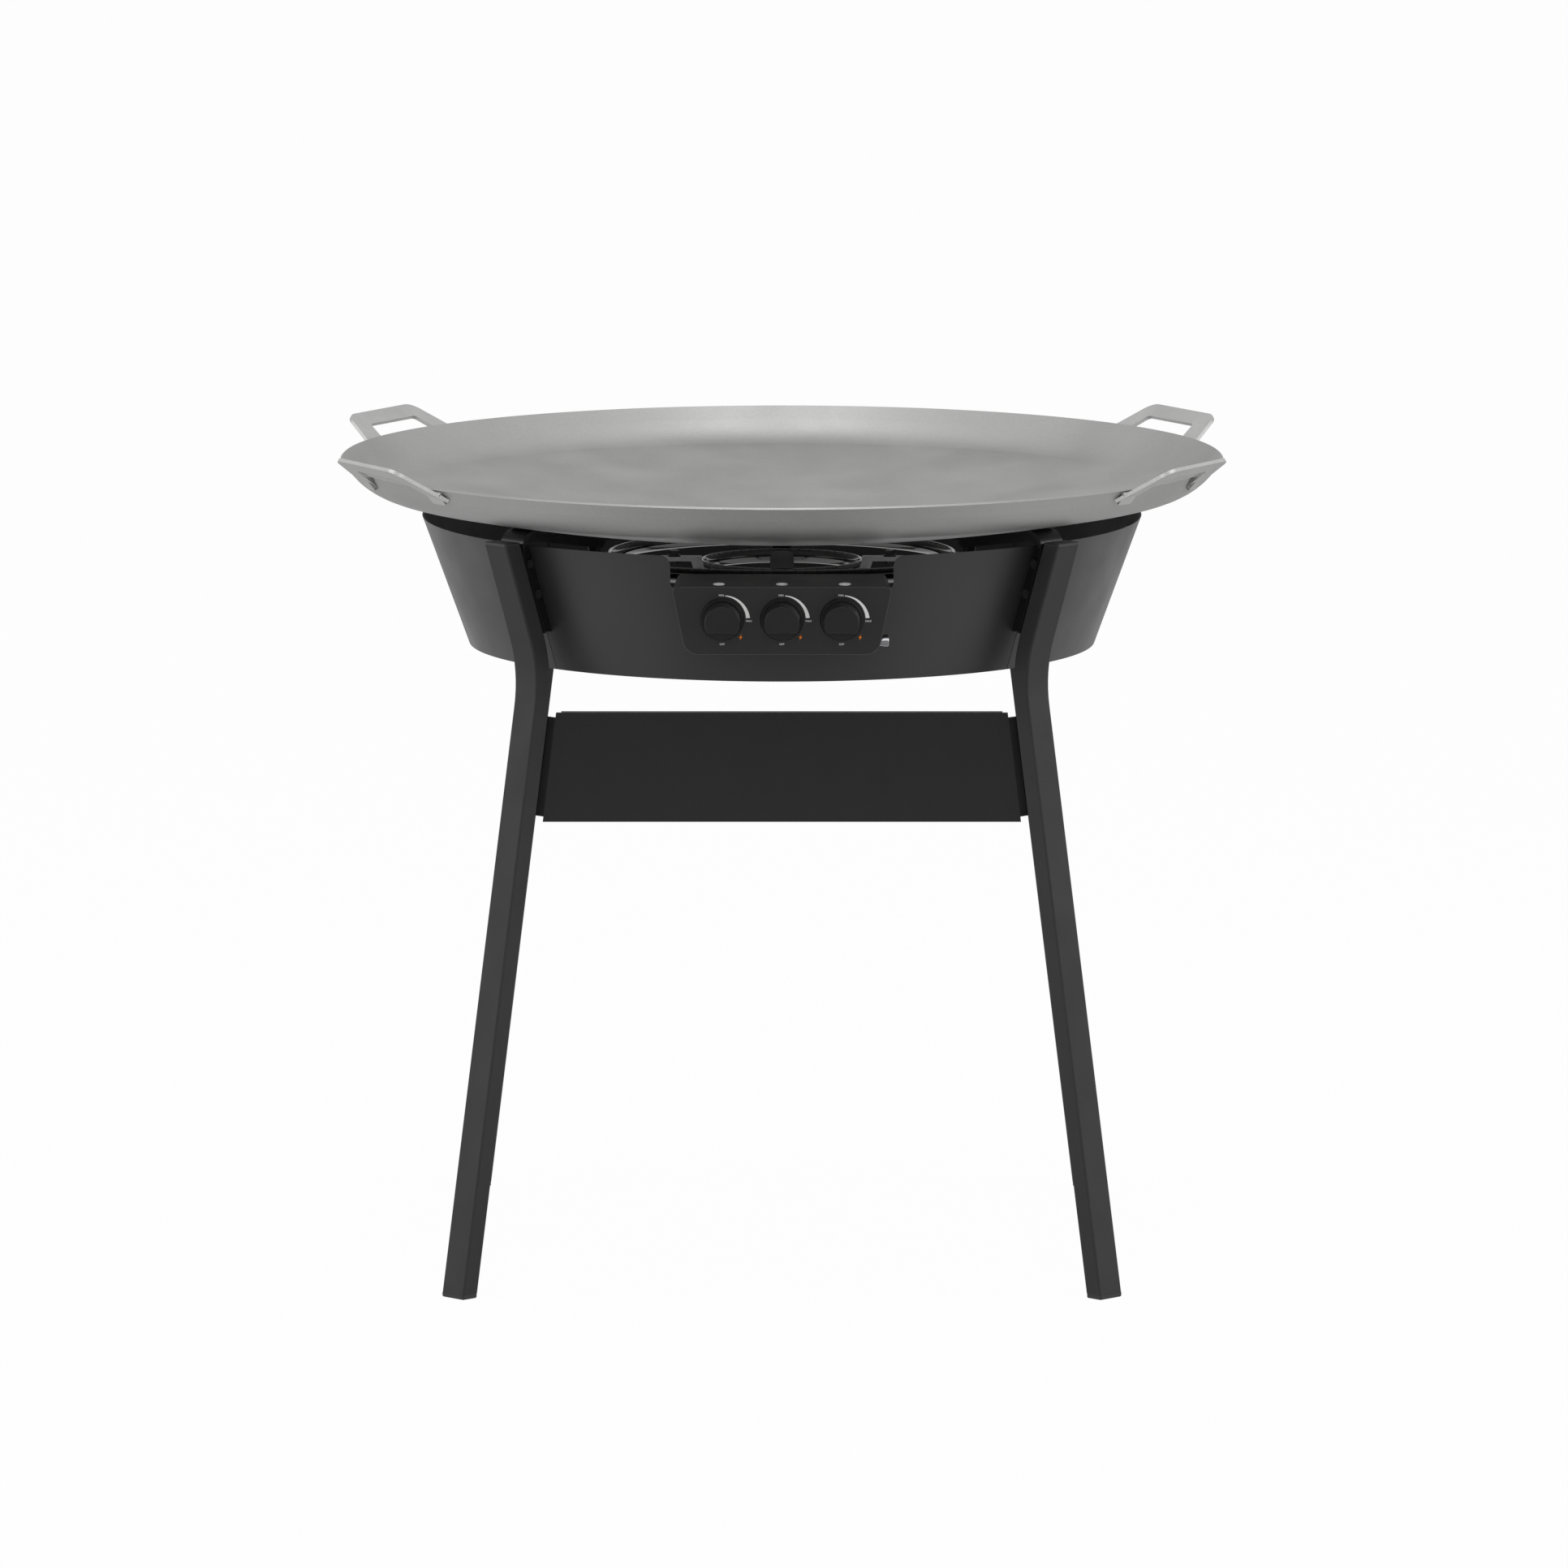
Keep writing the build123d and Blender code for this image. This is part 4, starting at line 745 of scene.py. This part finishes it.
# %% Two rows on each ring
RING_TUBE = 0.008                   # radius of the ring's tube
PORT_PITCH = 0.012
PORT_LEAN = radians(28)             # of the two rows from the crest
port_soot = grainy(
    "port_soot", (0.03, 0.029, 0.028), metallic=1.0, roughness=0.45,
    patch=0.01, grain=0.0005, bump=0.2, contrast=0.1)

for ring in ("inner", "middle", "outer"):
    low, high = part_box(f"burner_ring_{ring}")
    ring_radius = (high[0] - low[0]) / 2 - RING_TUBE
    to_tube = Matrix.Translation((ring_radius, 0, (low[2] + high[2]) / 2))
    count = round(2 * pi * ring_radius / PORT_PITCH)
    copies = []
    for row, lean in enumerate((-PORT_LEAN, PORT_LEAN)):
        on_tube = Matrix.Rotation(lean, 4, "Y") @ Matrix.Translation((0, 0, RING_TUBE))
        for step in range(count):
            turn = Matrix.Rotation(2 * pi * (step + row / 2) / count, 4, "Z")
            port = copy_of(crater, "port")
            port.data.transform(turn @ to_tube @ on_tube)
            copies.append(port)
    ports = join(copies, f"gas_ports_{ring}")
    dress(ports, port_soot, "frame")
    print("drilled", 2 * count, "ports into the", ring, "ring")
bpy.data.objects.remove(crater)

# %% [markdown]
# ## Thread on the gas inlet
# The stub on the right of the box ends in a gas thread for the union nut of a hose. A row of rings
# would look alike from afar, but a thread climbs. The Screw modifier turns a profile round an axis
# and moves it along at the same time, which gives a true helix. The profile is a triangle whose
# base lies inside the stub, so that only its ridge shows.

# %% The profile of the thread
THREAD_PITCH = 0.001337             # 19 turns to the inch
THREAD_PROUD = 0.00018
THREAD_PROFILE = 0.45               # radius of the triangle, in pitches
THREAD_STEPS = 48

inlet = next(mount for mount in frame["record"]["mounts"] if mount["name"] == "gas_inlet")
thread_radius = inlet["dims"]["r_mm"] / 1000
thread_length = inlet["dims"]["length_mm"] / 1000 - THREAD_PITCH
bpy.ops.mesh.primitive_circle_add(vertices=3, radius=THREAD_PITCH * THREAD_PROFILE, fill_type="NOTHING")
thread = bpy.context.object
thread.name = "inlet_thread"
ridge = max(vertex.co.y for vertex in thread.data.vertices)
for vertex in thread.data.vertices:
    vertex.co = (thread_radius + THREAD_PROUD + vertex.co.y - ridge, 0, vertex.co.x)
print("ridge stands", round(THREAD_PROUD * 1000, 2), "mm proud of the stub")

# %% [markdown]
# ## Winding the thread
# The modifier winds one turn and repeats it. Applied, it leaves a skin with two open ends. A cap
# could be modelled for each end, but filling the two triangles is enough to close it, and the
# normals are then turned outwards. The thread moves to the inlet's mount, which gives the middle
# and the direction of the stub.

# %% The thread on its stub
turns = int(thread_length / THREAD_PITCH)
winding = thread.modifiers.new("winding", "SCREW")
winding.axis = "Z"
winding.angle = 2 * pi
winding.screw_offset = THREAD_PITCH
winding.iterations = turns
winding.steps = THREAD_STEPS
winding.render_steps = THREAD_STEPS
apply_modifiers(thread)
bpy.ops.object.mode_set(mode="EDIT")
bpy.ops.mesh.select_all(action="SELECT")
bpy.ops.mesh.fill_holes(sides=3)
bpy.ops.mesh.normals_make_consistent(inside=False)
bpy.ops.object.mode_set(mode="OBJECT")
stub = Matrix.Translation(inlet["pos_m"]) @ Matrix.Rotation(pi / 2, 4, "Y")
move_mesh(thread, stub @ Matrix.Translation((0, 0, -turns * THREAD_PITCH / 2)))
dress(thread, chrome, "frame")
print("thread of", turns, "turns,", len(thread.data.polygons), "faces")

# %% [markdown]
# ## Measure and finish
# A dressed part must not outgrow its solids. The box round all pieces could be judged by eye, but a
# thread or a print that sticks out by a millimetre is easy to miss. So both boxes are measured, and
# the last line prints how far the highest corner of the box moved.

# %% Measure both boxes
dressed_low, dressed_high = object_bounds()
growth = [round(new - old, 6) for new, old in zip(dressed_high, cad_high)]
print("highest corner of the box moved by", growth)
